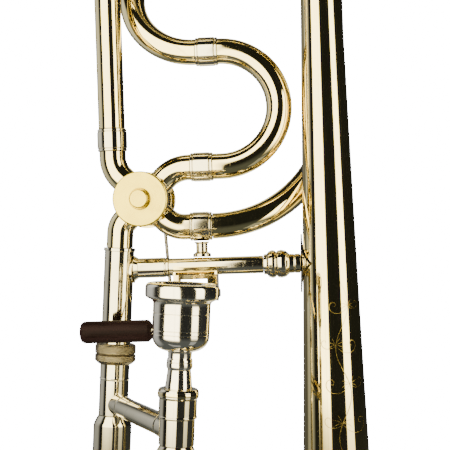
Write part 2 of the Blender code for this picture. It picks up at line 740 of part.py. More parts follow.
def upper_branch():
    """Valve to the left leg: elbow, ferrule, U bend, ferrule, swept bend."""
    elbow = route(port_start(1, 1), diagonal(1, 1),
                  [("run", LEAD), ("turn", F_PORT_BEND, RIGHT), ("run", LEAD)])
    after = elbow[-1] + RIGHT * F_FERRULE_LENGTH
    lean = Vector((0, sin(radians(F_U_TILT)), cos(radians(F_U_TILT))))
    u_bend = route(after, RIGHT, [("run", F_U_RUN), ("turn", F_U_BEND, lean), ("turn", F_U_BEND, LEFT),
                                  ("run", F_TOP_RUN)])
    top = u_bend[-1] + LEFT * F_FERRULE_LENGTH
    swing = Vector((0, sin(radians(F_S_LEAN)), cos(radians(F_S_LEAN))))
    bend = route(top, LEFT, [("run", F_TOP_RUN), ("turn", F_S_BEND, swing), ("turn", F_S_EASE, UP)])
    bend.append(Vector((bend[-1].x, bend[-1].y, F_SLEEVE_Z - GAP)))
    return elbow, u_bend, bend


def lower_branch():
    """Valve to the right leg: elbow, ferrule, long bend behind the bell."""
    heading = Vector((cos(radians(F_LOWER_BACK)), sin(radians(F_LOWER_BACK)), 0))
    elbow = route(port_start(1, -1), diagonal(1, -1),
                  [("run", LEAD), ("turn", F_LOWER_PORT_BEND, heading), ("run", F_LOWER_RUN)])
    after = elbow[-1] + heading * F_FERRULE_LENGTH
    swing = radians(F_LOWER_SWING)
    climb = radians(F_LOWER_CLIMB)
    middle = Vector((cos(swing) * cos(climb), sin(swing) * cos(climb), sin(climb)))
    bend = route(after, heading, [("run", LEAD), ("turn", F_LOWER_FIRST_BEND, middle),
                                  ("run", F_LOWER_MIDDLE_RUN), ("turn", F_LOWER_BEND, UP)])
    bend.append(Vector((bend[-1].x, bend[-1].y, F_SLEEVE_Z - GAP)))
    return elbow, bend


def make_f_loop():
    elbow, u_bend, bend = upper_branch()
    swept("f_upper_elbow", elbow, F_R, "brass", wall=WALL)
    swept("f_u_bend", u_bend, F_R, "brass", wall=WALL)
    swept("f_left_branch", bend, F_R, "brass", wall=WALL)
    low_elbow, low_bend = lower_branch()
    swept("f_lower_elbow", low_elbow, F_R, "brass", wall=WALL)
    placed("f_upper_ferrule", ferrule(elbow[-1], u_bend[0], F_R), "nickel")
    placed("f_top_ferrule", ferrule(u_bend[-1], bend[0], F_R), "nickel")
    placed("f_lower_ferrule", ferrule(low_elbow[-1], low_bend[0], F_R), "nickel")
    swept("f_right_branch", low_bend, F_R, "brass", wall=WALL)
    left = bend[-1]
    right = low_bend[-1]
    make_f_tuning_slide(left, right)
    make_f_sleeves(left, right)
    return low_elbow[-1], low_bend[0]


def make_f_tuning_slide(left, right):
    slide = axis_empty("f_tuning_slide_axis", at=(left.x, left.y, F_SLEEVE_TOP))
    across = Vector((right.x - left.x, right.y - left.y, 0))
    leg_mesh = slide_leg(F_LEG_R, F_LEG_INSERT, F_BOW_RISE)
    legs = placed("f_slide_legs", (leg_mesh, Matrix()), "nickel", slide)
    add(legs, "f_slide_right_leg", (leg_mesh.copy(), Matrix.Translation(across)), slide)
    bend = across.length / 2
    points = route((0, 0, F_BOW_RISE), UP, [("run", LEAD), ("turn", bend, across),
                                            ("turn", bend, DOWN), ("run", LEAD)])
    swept("f_slide_bow", points, F_R, "brass", wall=WALL, parent=slide)
    aim = across.normalized()
    height = UP * (F_BOW_RISE - MAIN_BRACE_R - MAIN_BRACE_LOW)
    reach = aim * (F_LEG_R + SLEEVE_WALL * 0.5)
    brace = stay(reach + height, across - reach + height, MAIN_BRACE_R)
    add(legs, "f_slide_brace", brace, slide)


def make_f_sleeves(left, right):
    """Slide sleeves of the F legs, each on a short post from the gooseneck or the bell."""
    inner = F_LEG_R + GAP
    shape = tube_outline(inner + SLEEVE_WALL, inner, F_SLEEVE_Z, F_SLEEVE_TOP, SLEEVE_BEAD, SLEEVE_BEAD_HEIGHT)
    neck = Vector((GOOSENECK_X, 0, STAY_Z))
    leg = Vector((left.x, left.y, STAY_Z))
    aim = (leg - neck).normalized()
    neck_inner = MAIN_LEG_R + GAP
    neck_shape = tube_outline(neck_inner + SLEEVE_WALL, neck_inner, GOOSE_SLEEVE_Z, MAIN_SLEEVE_TOP,
                              SLEEVE_BEAD, SLEEVE_BEAD_HEIGHT)
    pair = placed("left_slide_sleeves", (turned_mesh("neck_sleeve", neck_shape),
                                         Matrix.Translation((GOOSENECK_X, 0, 0))), "nickel")
    add(pair, "f_left_sleeve", (turned_mesh("sleeve", shape), Matrix.Translation((left.x, left.y, 0))))
    add(pair, "left_stay", stay(neck + aim * (neck_inner + SLEEVE_WALL * 0.5),
                                leg - aim * (inner + SLEEVE_WALL * 0.5), STAY_R, STAY_FLARE))
    bell = Vector((BELL_X, 0, STAY_Z))
    leg = Vector((right.x, right.y, STAY_Z))
    aim = (leg - bell).normalized()
    right_sleeve = placed("f_right_sleeve", (turned_mesh("sleeve", shape),
                                             Matrix.Translation((right.x, right.y, 0))), "nickel")
    foot = bell + aim * (bell_radius(STAY_Z - STAY_R - STAY_FLARE) + GAP)
    add(right_sleeve, "right_stay", stay(foot, leg - aim * (inner + SLEEVE_WALL * 0.5), STAY_R, STAY_FLARE))


# Bell brace

def make_bell_brace(ferrule_start, ferrule_end):
    """Ring-jointed brace with its foot on the neckpipe, a turned collar, and the F loop's post."""
    left = NECK_R + GAP
    right = BELL_X - bell_radius(BRACE_Z) - GAP * 2 - SADDLE_THICK
    collar_end = BRACE_COLLAR_X + BRACE_COLLAR_LENGTH
    at = (0, 0, BRACE_Z)
    turn = (0, 90, 0)
    joint = BRACE_JOINT_X
    bar = rod_outline([(left + SADDLE_THICK * 0.5, BRACE_LEFT_R + 0.0016), (left + 0.0030, BRACE_LEFT_R),
                       (joint - 0.0006, BRACE_LEFT_R), (joint, BRACE_LEFT_R - 0.0005),
                       (joint + 0.0006, BRACE_LEFT_R), (joint + 0.0016, BRACE_LEFT_R),
                       (joint + 0.0020, BRACE_R), (BRACE_COLLAR_X - GAP, BRACE_R)])
    brace = turned("bell_brace", bar, "nickel", at=at, turn=turn, solid=True)
    add_neck_saddle(brace)
    step = BRACE_COLLAR_R
    x = BRACE_COLLAR_X
    middle = (collar_end + right) / 2
    collar = rod_outline([(x, step - 0.0024), (x + 0.0018, step - 0.0022), (x + 0.0028, step - 0.0008),
                          (x + 0.0050, step), (x + 0.0066, step - 0.0004), (x + 0.0074, step - 0.0014),
                          (x + 0.0082, step - 0.0004), (x + 0.0104, step), (x + 0.0128, step - 0.0006),
                          (collar_end, step - 0.0022), (collar_end, BRACE_SLEEVE_R),
                          (middle - 0.0005, BRACE_SLEEVE_R), (middle, BRACE_SLEEVE_R - 0.0004),
                          (middle + 0.0005, BRACE_SLEEVE_R), (right + 0.0004, BRACE_SLEEVE_R)])
    collar_piece = turned("bell_brace_collar", collar, "nickel", at=at, turn=turn, solid=True)
    reach = 0.012
    seat = [(0, -reach), (bell_radius(-reach) + GAP * 2 + SADDLE_THICK, -reach),
            (bell_radius(reach) + GAP * 2 + SADDLE_THICK, reach), (0, reach)]
    seat_mesh = turned_mesh("seat", seat, BELL_SIDES, True)
    combine(collar_piece, tool("bell_saddle_seat", seat_mesh, at=(BELL_X, 0, 0)), "DIFFERENCE")
    make_bell_saddle()
    height = (ferrule_start.z + ferrule_end.z) / 2
    low = BRACE_R + GAP
    place = Vector((POST_X, 0, BRACE_Z))
    share = (POST_X - ferrule_start.x) / (ferrule_end.x - ferrule_start.x)
    aim = ferrule_start.lerp(ferrule_end, share) - place
    high = aim.length - F_R - FERRULE_WALL - GAP * 2
    post = rod_outline([(low, POST_FOOT_R), (low + 0.0018, POST_FOOT_R), (low + 0.0030, POST_R),
                        (high - 0.0012, POST_R), (high - 0.0006, POST_R + 0.0010), (high, POST_R + 0.0010)])
    placed("f_ferrule_post", (turned_mesh("post", post, 12, True), along(place, aim)), "nickel")


def make_bell_saddle():
    """Diamond-shaped foot, rolled to the bell's cone."""
    low = BRACE_Z - BELL_SADDLE_HALF - 0.002
    high = BRACE_Z + BELL_SADDLE_HALF + 0.002
    shell = [(bell_radius(high) + GAP, high), (bell_radius(low) + GAP, low),
             (bell_radius(low) + GAP + SADDLE_THICK, low), (bell_radius(high) + GAP + SADDLE_THICK, high)]
    saddle = turned("bell_saddle", shell, "nickel", at=(BELL_X, 0, 0), sides=BELL_SIDES)
    half = BELL_SADDLE_HALF
    wide = BELL_SADDLE_WIDE
    corners = [(0, half), (-wide * 0.35, half * 0.45), (-wide, 0), (-wide * 0.35, -half * 0.45),
               (0, -half), (wide * 0.35, -half * 0.45), (wide, 0), (wide * 0.35, half * 0.45)]
    shape = prism_mesh("diamond", corners, -0.040, -0.002)
    combine(saddle, tool("bell_saddle_outline", shape, at=(BELL_X, 0, BRACE_Z), turn=(90, 0, 90)), "INTERSECT")


def add_neck_saddle(brace):
    """Oval foot of the brace, rolled to the neckpipe."""
    neck = axis_empty("neck_saddle_axis", turn=(0, NECK_TILT, 0))
    reach = NECK_SADDLE_HALF
    inner = NECK_R + GAP
    shell_outline = tube_outline(inner + SADDLE_THICK, inner, -reach - 0.002, reach + 0.0012)
    shell_mesh = turned_mesh("neck_shell", shell_outline)
    shell = tool("neck_saddle", shell_mesh, neck)
    around = [2 * pi * index / 12 for index in range(12)]
    corners = [(reach * 0.8 * sin(angle), reach * cos(angle)) for angle in around]
    shape = prism_mesh("oval", corners, 0.002, 0.020)
    combine(shell, tool("neck_saddle_outline", shape, neck, turn=(90, 0, 90)), "INTERSECT")
    combine(brace, shell, "UNION")
    core = turned_mesh("neck_core", plain_rod(inner, -0.02, 0.02), SIDES, True)
    combine(brace, tool("neck_saddle_core", core, neck), "DIFFERENCE")


# Neckpipe and the fixed half of the hand slide

def neck_place(height):
    """A point on the neck's leaning axis."""
    angle = radians(NECK_TILT)
    return Vector((sin(angle) * height, 0, cos(angle) * height))


def make_neck(neck):
    lean = tan(radians(NECK_TILT))
    port = port_start(-1, -1)
    away = diagonal(-1, -1)
    corner = port + away * ((port.x - lean * port.z) / (lean * away.z - away.x))
    end = neck_place(NECK_TOP + GAP)
    bend = (corner - port).angle(end - corner)
    radius = ((corner - port).length - LEAD) / tan(bend / 2)
    swept("neck_elbow", cornered(port, corner, end, radius), MAIN_R, "brass", wall=WALL)
    bead = NECK_BEAD_R - NECK_R
    outline = tube_outline(NECK_R, MAIN_R - WALL, NECK_BOTTOM, NECK_TOP, bead, NECK_BEAD_HEIGHT)
    turned("neckpipe", outline, "nickel", neck)


def make_nut(neck):
    """Double knurled coupling nut that draws the two sections together."""
    low = NUT_TOP - NUT_LENGTH
    inner = TENON_R + GAP
    band = NUT_LENGTH / 2
    groove = 0.0006
    outline = [(inner, low), (NUT_R - 0.0022, low), (NUT_R, low + 0.0020), (NUT_R, low + band - groove),
               (NUT_R - 0.0010, low + band), (NUT_R, low + band + groove), (NUT_R, NUT_TOP - 0.0010),
               (NUT_R - 0.0009, NUT_TOP), (inner, NUT_TOP)]
    turned("neck_nut", outline, "nickel", neck, sides=16)


def make_fixed_slide(frame):
    """Tenon, receiver, cork barrels, inner tubes and the hand brace between them."""
    bore = INNER_R + GAP
    mid = (NUT_TOP - NUT_LENGTH + SHOULDER_Z) / 2 + 0.0065
    tenon = [(bore, SHOULDER_Z + GAP), (TENON_R, SHOULDER_Z + GAP), (TENON_R, mid - 0.0006),
             (TENON_R + 0.0004, mid), (TENON_R, mid + 0.0006), (TENON_R, NECK_BOTTOM - GAP),
             (bore, NECK_BOTTOM - GAP)]
    turned("slide_tenon", tenon, "nickel", frame)
    shank = MOUTH_SHANK_R + GAP
    tip = MOUTH_TIP_R + GAP
    tip_z = RECEIVER_TOP - MOUTH_INSERT - 0.0006
    receiver = [(bore, SHOULDER_Z + GAP), (RECEIVER_LOW_R, SHOULDER_Z + GAP),
                (RECEIVER_LOW_R, RECEIVER_STEP_Z - 0.0010), (RECEIVER_R + 0.0003, RECEIVER_STEP_Z - 0.0006),
                (RECEIVER_R + 0.0003, RECEIVER_STEP_Z + 0.0002), (RECEIVER_R, RECEIVER_STEP_Z + 0.0005),
                (RECEIVER_R, RECEIVER_TOP - RECEIVER_BEAD),
                (RECEIVER_BEAD_R, RECEIVER_TOP - RECEIVER_BEAD + 0.0008),
                (RECEIVER_BEAD_R, RECEIVER_TOP - 0.0012), (RECEIVER_BEAD_R - 0.0008, RECEIVER_TOP),
                (shank, RECEIVER_TOP), (tip, tip_z), (bore, tip_z)]
    turned("mouthpiece_receiver", receiver, "nickel", frame, at=(SLIDE_SPACING, 0, 0))
    for side, across, inner_top in (("left", 0, NECK_BOTTOM - GAP * 2 - 0.0020),
                                    ("right", SLIDE_SPACING, tip_z - GAP)):
        hollow = BARREL_R - BARREL_WALL
        full = SHOULDER_Z - SHOULDER_HEIGHT
        band = BARREL_R + BARREL_BAND
        band_top = BARREL_BOTTOM + BARREL_BAND_HEIGHT
        barrel = [(hollow, BARREL_BOTTOM), (band, BARREL_BOTTOM), (band, band_top), (BARREL_R, band_top),
                  (BARREL_R, full), (BARREL_R - 0.0008, full + 0.0022), (TENON_R, SHOULDER_Z),
                  (bore, SHOULDER_Z), (bore, full - 0.0010), (hollow, full - 0.0030)]
        turned("cork_barrel_" + side, barrel, "nickel", frame, at=(across, 0, 0))
        tube = tube_outline(INNER_R, INNER_R - WALL, INNER_BOTTOM, inner_top)
        turned("inner_slide_tube_" + side, tube, "nickel", frame, at=(across, 0, 0))
    pipe_r = INNER_R - WALL - GAP
    pipe_top = tip_z - GAP
    pipe = [(pipe_r - 0.0004, pipe_top - LEADPIPE_LENGTH), (pipe_r, pipe_top - LEADPIPE_LENGTH),
            (pipe_r, pipe_top), (pipe_r - 0.0004, pipe_top), (pipe_r - 0.0012, pipe_top - 0.030)]
    turned("leadpipe", pipe, "brass", frame, at=(SLIDE_SPACING, 0, 0))
    hand_brace(frame, "inner_slide_brace", INNER_BRACE_Z, INNER_BRACE_R, TENON_R + GAP, RECEIVER_LOW_R + GAP)
    return hollow


def hand_brace(frame, name, height, radius, left_bore, right_bore):
    """A brace tube across the slide, cut at both ends to sit on its two tubes, with two turned rings."""
    last = SLIDE_SPACING - BRACE_RING_X
    bar = [(left_bore / 2, radius)]
    for place in (BRACE_RING_X, last):
        bar += [(place - BRACE_RING_HALF, radius), (place, radius + BRACE_RING_HEIGHT),
                (place + BRACE_RING_HALF, radius)]
    bar.append((SLIDE_SPACING - right_bore / 2, radius))
    brace = turned(name, rod_outline(bar), "nickel", frame, at=(0, 0, height), turn=(0, 90, 0), sides=12,
                   solid=True)
    for side, across, bore in (("left", 0, left_bore), ("right", SLIDE_SPACING, right_bore)):
        clear = turned_mesh("clear", plain_rod(bore, -radius * 2, radius * 2), SIDES, True)
        combine(brace, tool(f"{name}_{side}_clear", clear, frame, (across, 0, height)), "DIFFERENCE")
    return brace


def add_saddle_sleeves(brace, frame, bore):
    """A sleeve round each outer tube at the brace's ends."""
    half = OUTER_SADDLE_HEIGHT / 2
    for side, across in (("left", 0), ("right", SLIDE_SPACING)):
        sleeve = turned_mesh("sleeve", tube_outline(bore + SADDLE_THICK, bore, -half, half))
        combine(brace, tool(f"saddle_sleeve_{side}", sleeve, frame, (across, 0, OUTER_BRACE_Z)), "UNION")


# Moving half of the hand slide

def make_hand_slide(frame, hollow):
    slide = axis_empty("hand_slide_axis", frame)
    inner = INNER_R + GAP
    for side, across in (("left", 0), ("right", SLIDE_SPACING)):
        collar = hollow - GAP * 3
        low = OUTER_BOTTOM + BOW_FERRULE_RISE
        high = low + BOW_FERRULE_LENGTH
        band = OUTER_R + OUTER_FERRULE_WALL
        outline = [(inner, OUTER_BOTTOM), (OUTER_R, OUTER_BOTTOM), (OUTER_R, low), (band, low), (band, high),
                   (OUTER_R, high), (OUTER_R, OUTER_TOP - 0.006),
                   (collar, OUTER_TOP - 0.005), (collar, OUTER_TOP - OVERCUT), (collar - 0.0006, OUTER_TOP),
                   (inner, OUTER_TOP)]
        turned("outer_slide_tube_" + side, outline, "nickel", slide, at=(across, 0, 0))
    bore = OUTER_R + GAP
    brace = hand_brace(slide, "outer_slide_brace", OUTER_BRACE_Z, OUTER_BRACE_R, bore, bore)
    add_saddle_sleeves(brace, slide, bore)
    saddle_top = OUTER_BRACE_Z + OUTER_SADDLE_HEIGHT / 2
    lug_low = saddle_top - LUG_ROOT
    lug = [(bore, lug_low), (bore + LUG_STEP, lug_low), (bore + LUG_WALL, saddle_top),
           (bore + LUG_WALL, saddle_top + LOCK_LUG), (bore, saddle_top + LOCK_LUG)]
    catch = tool("lock_lug", turned_mesh("lug", lug), slide, (SLIDE_SPACING, 0, 0))
    combine(brace, catch, "UNION")
    bend = SLIDE_SPACING / 2
    points = route((0, 0, OUTER_BOTTOM - GAP), DOWN, [("run", LEAD), ("turn", bend, RIGHT),
                                                      ("turn", bend, UP), ("run", LEAD)])
    swept("slide_bow", points, OUTER_R, "brass", wall=WALL, parent=slide)
    bow_low = OUTER_BOTTOM - GAP - LEAD - bend
    make_bumper(slide, bend, bow_low - OUTER_R)
    make_water_key(slide, bend, bow_low)
    make_lock(frame)


def make_bumper(slide, across, low):
    """Socket under the bow with a rubber tip, flat where it stands."""
    top = low + 0.0020
    bottom = low - SOCKET_LENGTH
    socket = rod_outline([(bottom, BUMPER_R - 0.0005), (bottom + 0.0008, BUMPER_R), (low - 0.0012, BUMPER_R),
                          (low - 0.0002, BUMPER_R - 0.0016), (top, BUMPER_R - 0.0028)])
    piece = turned("bumper_socket", socket, "nickel", slide, at=(across, 0, 0), solid=True)
    bow = turned_mesh("bow_clear", torus_outline(SLIDE_SPACING / 2, OUTER_R + GAP), 96)
    centre = low + OUTER_R + SLIDE_SPACING / 2
    combine(piece, tool("socket_seat", bow, slide, (across, 0, centre), (90, 0, 0)), "DIFFERENCE")
    tip = rod_outline([(bottom - BUMPER_LENGTH, BUMPER_R - 0.0026),
                       (bottom - BUMPER_LENGTH + 0.0016, BUMPER_R - 0.0008),
                       (bottom - 0.0030, BUMPER_R - 0.0004), (bottom - GAP, BUMPER_R - 0.0010)])
    turned("slide_bumper", tip, "rubber", slide, at=(across, 0, 0), solid=True)


def torus_outline(ring, tube):
    return [(ring + tube * cos(2 * pi * index / 16), tube * sin(2 * pi * index / 16)) for index in range(16)]


def make_water_key(slide, across, bow_low):
    """Drain nipple, its hinge post, and the sprung key with a cork pad."""
    front = -(OUTER_R + GAP)
    nipple = [(0.0014, 0), (0.0034, 0), (0.0030, 0.0016), (KEY_NIPPLE_R, KEY_NIPPLE), (0.0014, KEY_NIPPLE)]
    hole_x = across - KEY_OFFSET
    nipple_z = bow_low + across - sqrt(across ** 2 - KEY_OFFSET ** 2)
    post = rod_outline([(0, 0.0042), (0.0012, 0.0042), (0.0024, 0.0026), (KEY_POST, 0.0026)])
    shape = turned_mesh("post", post, 12, True), along((across, front, bow_low), -BACK)
    fittings = placed("water_key_fittings", shape, "nickel", slide)
    add(fittings, "water_key_nipple", (turned_mesh("nipple", nipple, 12),
                                       along((hole_x, front, nipple_z), -BACK)), slide)
    rise = nipple_z - bow_low
    strip_end = sqrt(KEY_OFFSET ** 2 + rise ** 2) - KEY_NIPPLE_R
    strip = prism_mesh("strip", box_corners(KEY_STRIP_START, -KEY_STRIP_HALF, strip_end, KEY_STRIP_HALF),
                       0, KEY_STRIP_THICK)
    slope = atan2(rise, KEY_OFFSET)
    lean = Matrix.Rotation(pi + slope, 4, "Y") @ Matrix.Rotation(radians(90), 4, "X")
    add(fittings, "water_key_strip", (strip, Matrix.Translation((across, front, bow_low)) @ lean), slide)
    pivot_y = front - KEY_POST - KEY_BARREL_R - GAP
    key = axis_empty("water_key_axis", slide, (across, pivot_y, bow_low))
    barrel = turned("water_key", plain_rod(KEY_BARREL_R, -0.0042, 0.0042), "brass", key, sides=12, solid=True)
    pad_face = front - KEY_NIPPLE - GAP - pivot_y
    pad_back = pad_face - KEY_PAD
    head_face = pad_back - GAP
    centre = Vector((-KEY_OFFSET, head_face, nipple_z - bow_low))
    head = turned_mesh("key_head", plain_rod(KEY_HEAD_R, 0, KEY_HEAD), 12, True)
    add(barrel, "key_head", (head, along(centre, -BACK)), key)
    inner_end = centre - BACK * KEY_HEAD * 0.6
    add(barrel, "key_arm", (arm_mesh(inner_end, Vector(), KEY_ARM_R), Matrix()), key)
    finger = Vector((KEY_TOUCH, -0.0040, 0.0030))
    add(barrel, "key_touch", (arm_mesh(Vector(), finger, KEY_ARM_R), Matrix()), key)
    pad = turned_mesh("pad", plain_rod(KEY_HEAD_R - 0.0004, 0, KEY_PAD), 12, True)
    placed("water_key_pad", (pad, along((centre.x, pad_face, centre.z), -BACK)), "cork", key)


def arm_mesh(start, end, radius):
    length = (end - start).length
    mesh = turned_mesh("arm", plain_rod(radius, 0, length), 10, True)
    spin = UP.rotation_difference(end - start).to_matrix().to_4x4()
    mesh.transform(Matrix.Translation(start) @ spin)
    return mesh


def make_lock(frame):
    """Ring on the right barrel that turns to catch the lug of the outer slide."""
    low = BARREL_BOTTOM + LOCK_RISE
    inner = BARREL_R + LOCK_CLEARANCE
    outer = inner + LOCK_WALL
    lock = axis_empty("slide_lock_axis", frame, (SLIDE_SPACING, 0, 0))
    band = tube_outline(outer, inner, low, low + LOCK_HEIGHT, 0.0004, 0.0020, True)
    ring = turned("slide_lock_ring", band, "nickel", lock)
    corners = box_corners(-LOCK_TAB_HALF, outer - LOCK_WALL / 2, LOCK_TAB_HALF, outer + LOCK_TAB_OUT)
    tab = prism_mesh("tab", corners, low + LOCK_HEIGHT / 4, low + LOCK_HEIGHT * 0.75)
    combine(ring, tool("lock_tab", tab, lock), "UNION")


# Mouthpiece

def make_mouthpiece(frame):
    """Silver mouthpiece: rounded rim, ringed cup, stem bead and tapered shank."""
    top = MOUTH_RIM_TOP
    place = axis_empty("mouthpiece_axis", frame, (SLIDE_SPACING, 0, 0))
    rim = MOUTH_RIM_R
    end = RECEIVER_TOP - MOUTH_INSERT
    neck = top - MOUTH_NECK_AT
    cup = MOUTH_CUP_R
    low_cup = top - MOUTH_CUP_STRAIGHT
    bend = low_cup - neck
    under = top - MOUTH_RIM_HEIGHT
    outside = [(rim - 0.0034, top), (rim - 0.0012, top - 0.0004), (rim - 0.0003, top - 0.0012),
               (rim, top - 0.0028), (rim, under + 0.0020), (rim - 0.0006, under + 0.0008),
               (cup + 0.0014, under - 0.0004), (cup + 0.0003, under - 0.0016), (cup, under - 0.0030)]
    for step in (0, 25, 50, 72):
        angle = radians(step)
        outside.append((MOUTH_NECK_R + 0.0004 + (cup - MOUTH_NECK_R - 0.0004) * cos(angle),
                        low_cup - bend * sin(angle)))
    outside += [(MOUTH_NECK_R, neck - 0.0006), (MOUTH_NECK_R - 0.0001, neck - 0.0042)]
    bead = neck - 0.0046
    outside += [(MOUTH_NECK_R + 0.0005, bead - 0.0004), (MOUTH_NECK_R + 0.0005, bead - 0.0038),
                (MOUTH_NECK_R - 0.0002, bead - 0.0050), (MOUTH_SHANK_R, RECEIVER_TOP + 0.0010),
                (MOUTH_SHANK_R, RECEIVER_TOP - 0.0004), (MOUTH_TIP_R, end)]
    inside = [(MOUTH_TIP_R - 0.0008, end), (MOUTH_THROAT_R + 0.0002, top - MOUTH_CUP_DEPTH - 0.0160),
              (MOUTH_THROAT_R, top - MOUTH_CUP_DEPTH - 0.0040)]
    for step in (80, 60, 40, 20, 0):
        angle = radians(step)
        inside.append((MOUTH_THROAT_R + (MOUTH_BITE_R - MOUTH_THROAT_R) * cos(angle) ** 0.8,
                       top - 0.0026 - (MOUTH_CUP_DEPTH - 0.0026) * sin(angle)))
    inside.append((MOUTH_BITE_R + 0.0016, top - 0.0004))
    turned("mouthpiece", outside + inside, "silver", place, sides=16)


# Thumb lever of the valve

def make_lever():
    x0 = BRACKET_X0
    x1 = BRACKET_X1
    skin = BRACKET_SKIN
    barrel_in = x0 + skin + GAP
    barrel_out = x1 - skin - GAP
    make_bracket(x0, x1, skin)
    pivot = axis_empty("thumb_lever_axis", at=(x0, LEVER_Y, LEVER_Z))
    far = x1 - x0
    axle = rod_outline([(-AXLE_HEAD, AXLE_HEAD_R), (-GAP, AXLE_HEAD_R), (-GAP, AXLE_R), (far + GAP, AXLE_R),
                        (far + GAP, AXLE_HEAD_R), (far + AXLE_HEAD, AXLE_HEAD_R)])
    turned("lever_axle", axle, "steel", pivot, turn=(0, 90, 0), sides=12, solid=True)
    sleeve_outline = tube_outline(LEVER_BARREL_R, AXLE_R + GAP, barrel_in - x0, barrel_out - x0)
    lever = turned("thumb_lever", sleeve_outline, "brass", pivot, turn=(0, 90, 0), sides=16)
    half = radians(LEVER_TURN / 2)
    pin = Vector((LEVER_PIN_X - x0, LEVER_REAR * cos(half), -LEVER_REAR * sin(half)))
    arm_x = 0.0095
    rear = [Vector((arm_x, pin.y * share, pin.z * share)) for share in (0.08, 0.62)]
    rear += [Vector((arm_x * 0.75, pin.y * 0.88, pin.z * 0.88)),
             Vector((arm_x * 0.30, pin.y * 0.99, pin.z * 0.99)),
             pin + Vector((0.0030, 0, 0))]
    combine(lever, swept_tool("lever_rear", rear, LEVER_ROD_R * 0.8, pivot), "UNION")
    boss = turned_mesh("pin_boss", plain_rod(EYE_R - 0.0001, LOW_EYE_HALF + GAP, LOW_EYE_HALF * 3), 12, True)
    combine(lever, tool("lever_pin_boss", boss, pivot, pin, (0, 90, 0)), "UNION")
    end_x = ROLLER_X1 - x0
    roller = Vector((end_x, ROLLER_Y - LEVER_Y, ROLLER_Z - LEVER_Z))
    start = Vector((0.0150, -0.0022, -0.0014))
    knee = Vector((0.0150, roller.y * 0.72, roller.z * 0.80))
    front = [start, knee, Vector((0.0120, roller.y * 0.93, roller.z * 0.96)),
             Vector((0.0060, roller.y, roller.z)), roller, roller + LEFT * 0.012]
    combine(lever, swept_tool("lever_front", front, LEVER_ROD_R, pivot), "UNION")
    inner = LEVER_ROD_R + GAP
    length = ROLLER_X1 - ROLLER_X0
    r = ROLLER_R
    grip = [(0, 0), (r * 0.55, 0.0003), (r * 0.85, 0.0011), (r - 0.0001, 0.0026), (r, 0.0045),
            (r, length - 0.0016), (r - 0.0014, length), (inner, length), (inner, length - 0.0130),
            (0, length - 0.0130)]
    turned("thumb_roller", grip, "wood", pivot, (ROLLER_X0 - x0, roller.y, roller.z), (0, 90, 0), 16, True)
    make_link_rod(pin + Vector((x0, LEVER_Y, LEVER_Z)))
    make_lever_spring(pivot, barrel_in - x0)


def swept_tool(name, points, radius, parent):
    piece = swept(name, points, radius, "brass", sides=10, parent=parent)
    piece.hide_render = True
    piece.display_type = "WIRE"
    return piece


def make_bracket(x0, x1, skin):
    """Saddle under the brace with two cheeks for the axle and a windowed front apron."""
    inner = BRACE_R + GAP
    half = BRACKET_HALF
    low = BRACE_Z - BRACKET_DEPTH
    outline = tube_outline(inner + skin, inner, x0, x1)
    bracket = turned("lever_bracket", outline, "brass", at=(0, 0, BRACE_Z), turn=(0, 90, 0))
    cut = prism_mesh("upper", box_corners(x0 - OVERCUT, -0.02, x1 + OVERCUT, 0.02), BRACE_Z + 0.0008, 0.03)
    combine(bracket, tool("bracket_upper_cut", cut), "DIFFERENCE")
    top = BRACE_Z - BRACKET_APRON_TOP
    shoulder = BRACE_Z - BRACKET_SADDLE_LOW
    side = BRACE_Z - BRACKET_CHEEK_SIDE
    cheek = [(-half, top), (-half, side), (-half * 0.45, low + skin * 0.6), (0, low),
             (half * 0.45, low + skin * 0.6), (half, side), (half, top), (inner, shoulder), (-inner, shoulder)]
    for index, x in enumerate((x0, x1 - skin)):
        plate = prism_mesh("cheek", cheek, x, x + skin)
        plate.transform(Matrix(((0, 0, 1, 0), (1, 0, 0, 0), (0, 1, 0, 0), (0, 0, 0, 1))))
        combine(bracket, tool(f"bracket_cheek_{index}", plate), "UNION")
    apron = prism_mesh("apron", box_corners(x0, -half - skin * 0.5, x1, -half + skin * 0.5),
                       BRACE_Z - BRACKET_APRON_LOW, BRACE_Z - BRACKET_APRON_TOP)
    combine(bracket, tool("bracket_apron", apron), "UNION")
    window = prism_mesh("window", box_corners(x0 + 0.0046, -half - 0.003, x1 - 0.0058, -half + 0.003),
                        BRACE_Z - BRACKET_APRON_LOW + 0.0016, BRACE_Z - BRACKET_APRON_TOP - 0.0026)
    combine(bracket, tool("bracket_window", window), "DIFFERENCE")
    clear = turned_mesh("brace_clear", plain_rod(inner, x0 - OVERCUT, x1 + OVERCUT), SIDES, True)
    combine(bracket, tool("bracket_brace_clear", clear, at=(0, 0, BRACE_Z), turn=(0, 90, 0)), "DIFFERENCE")
    hole = turned_mesh("axle_hole", plain_rod(AXLE_R + GAP, x0 - OVERCUT, x1 + OVERCUT), 12, True)
    combine(bracket, tool("bracket_axle_hole", hole, at=(0, LEVER_Y, LEVER_Z), turn=(0, 90, 0)), "DIFFERENCE")


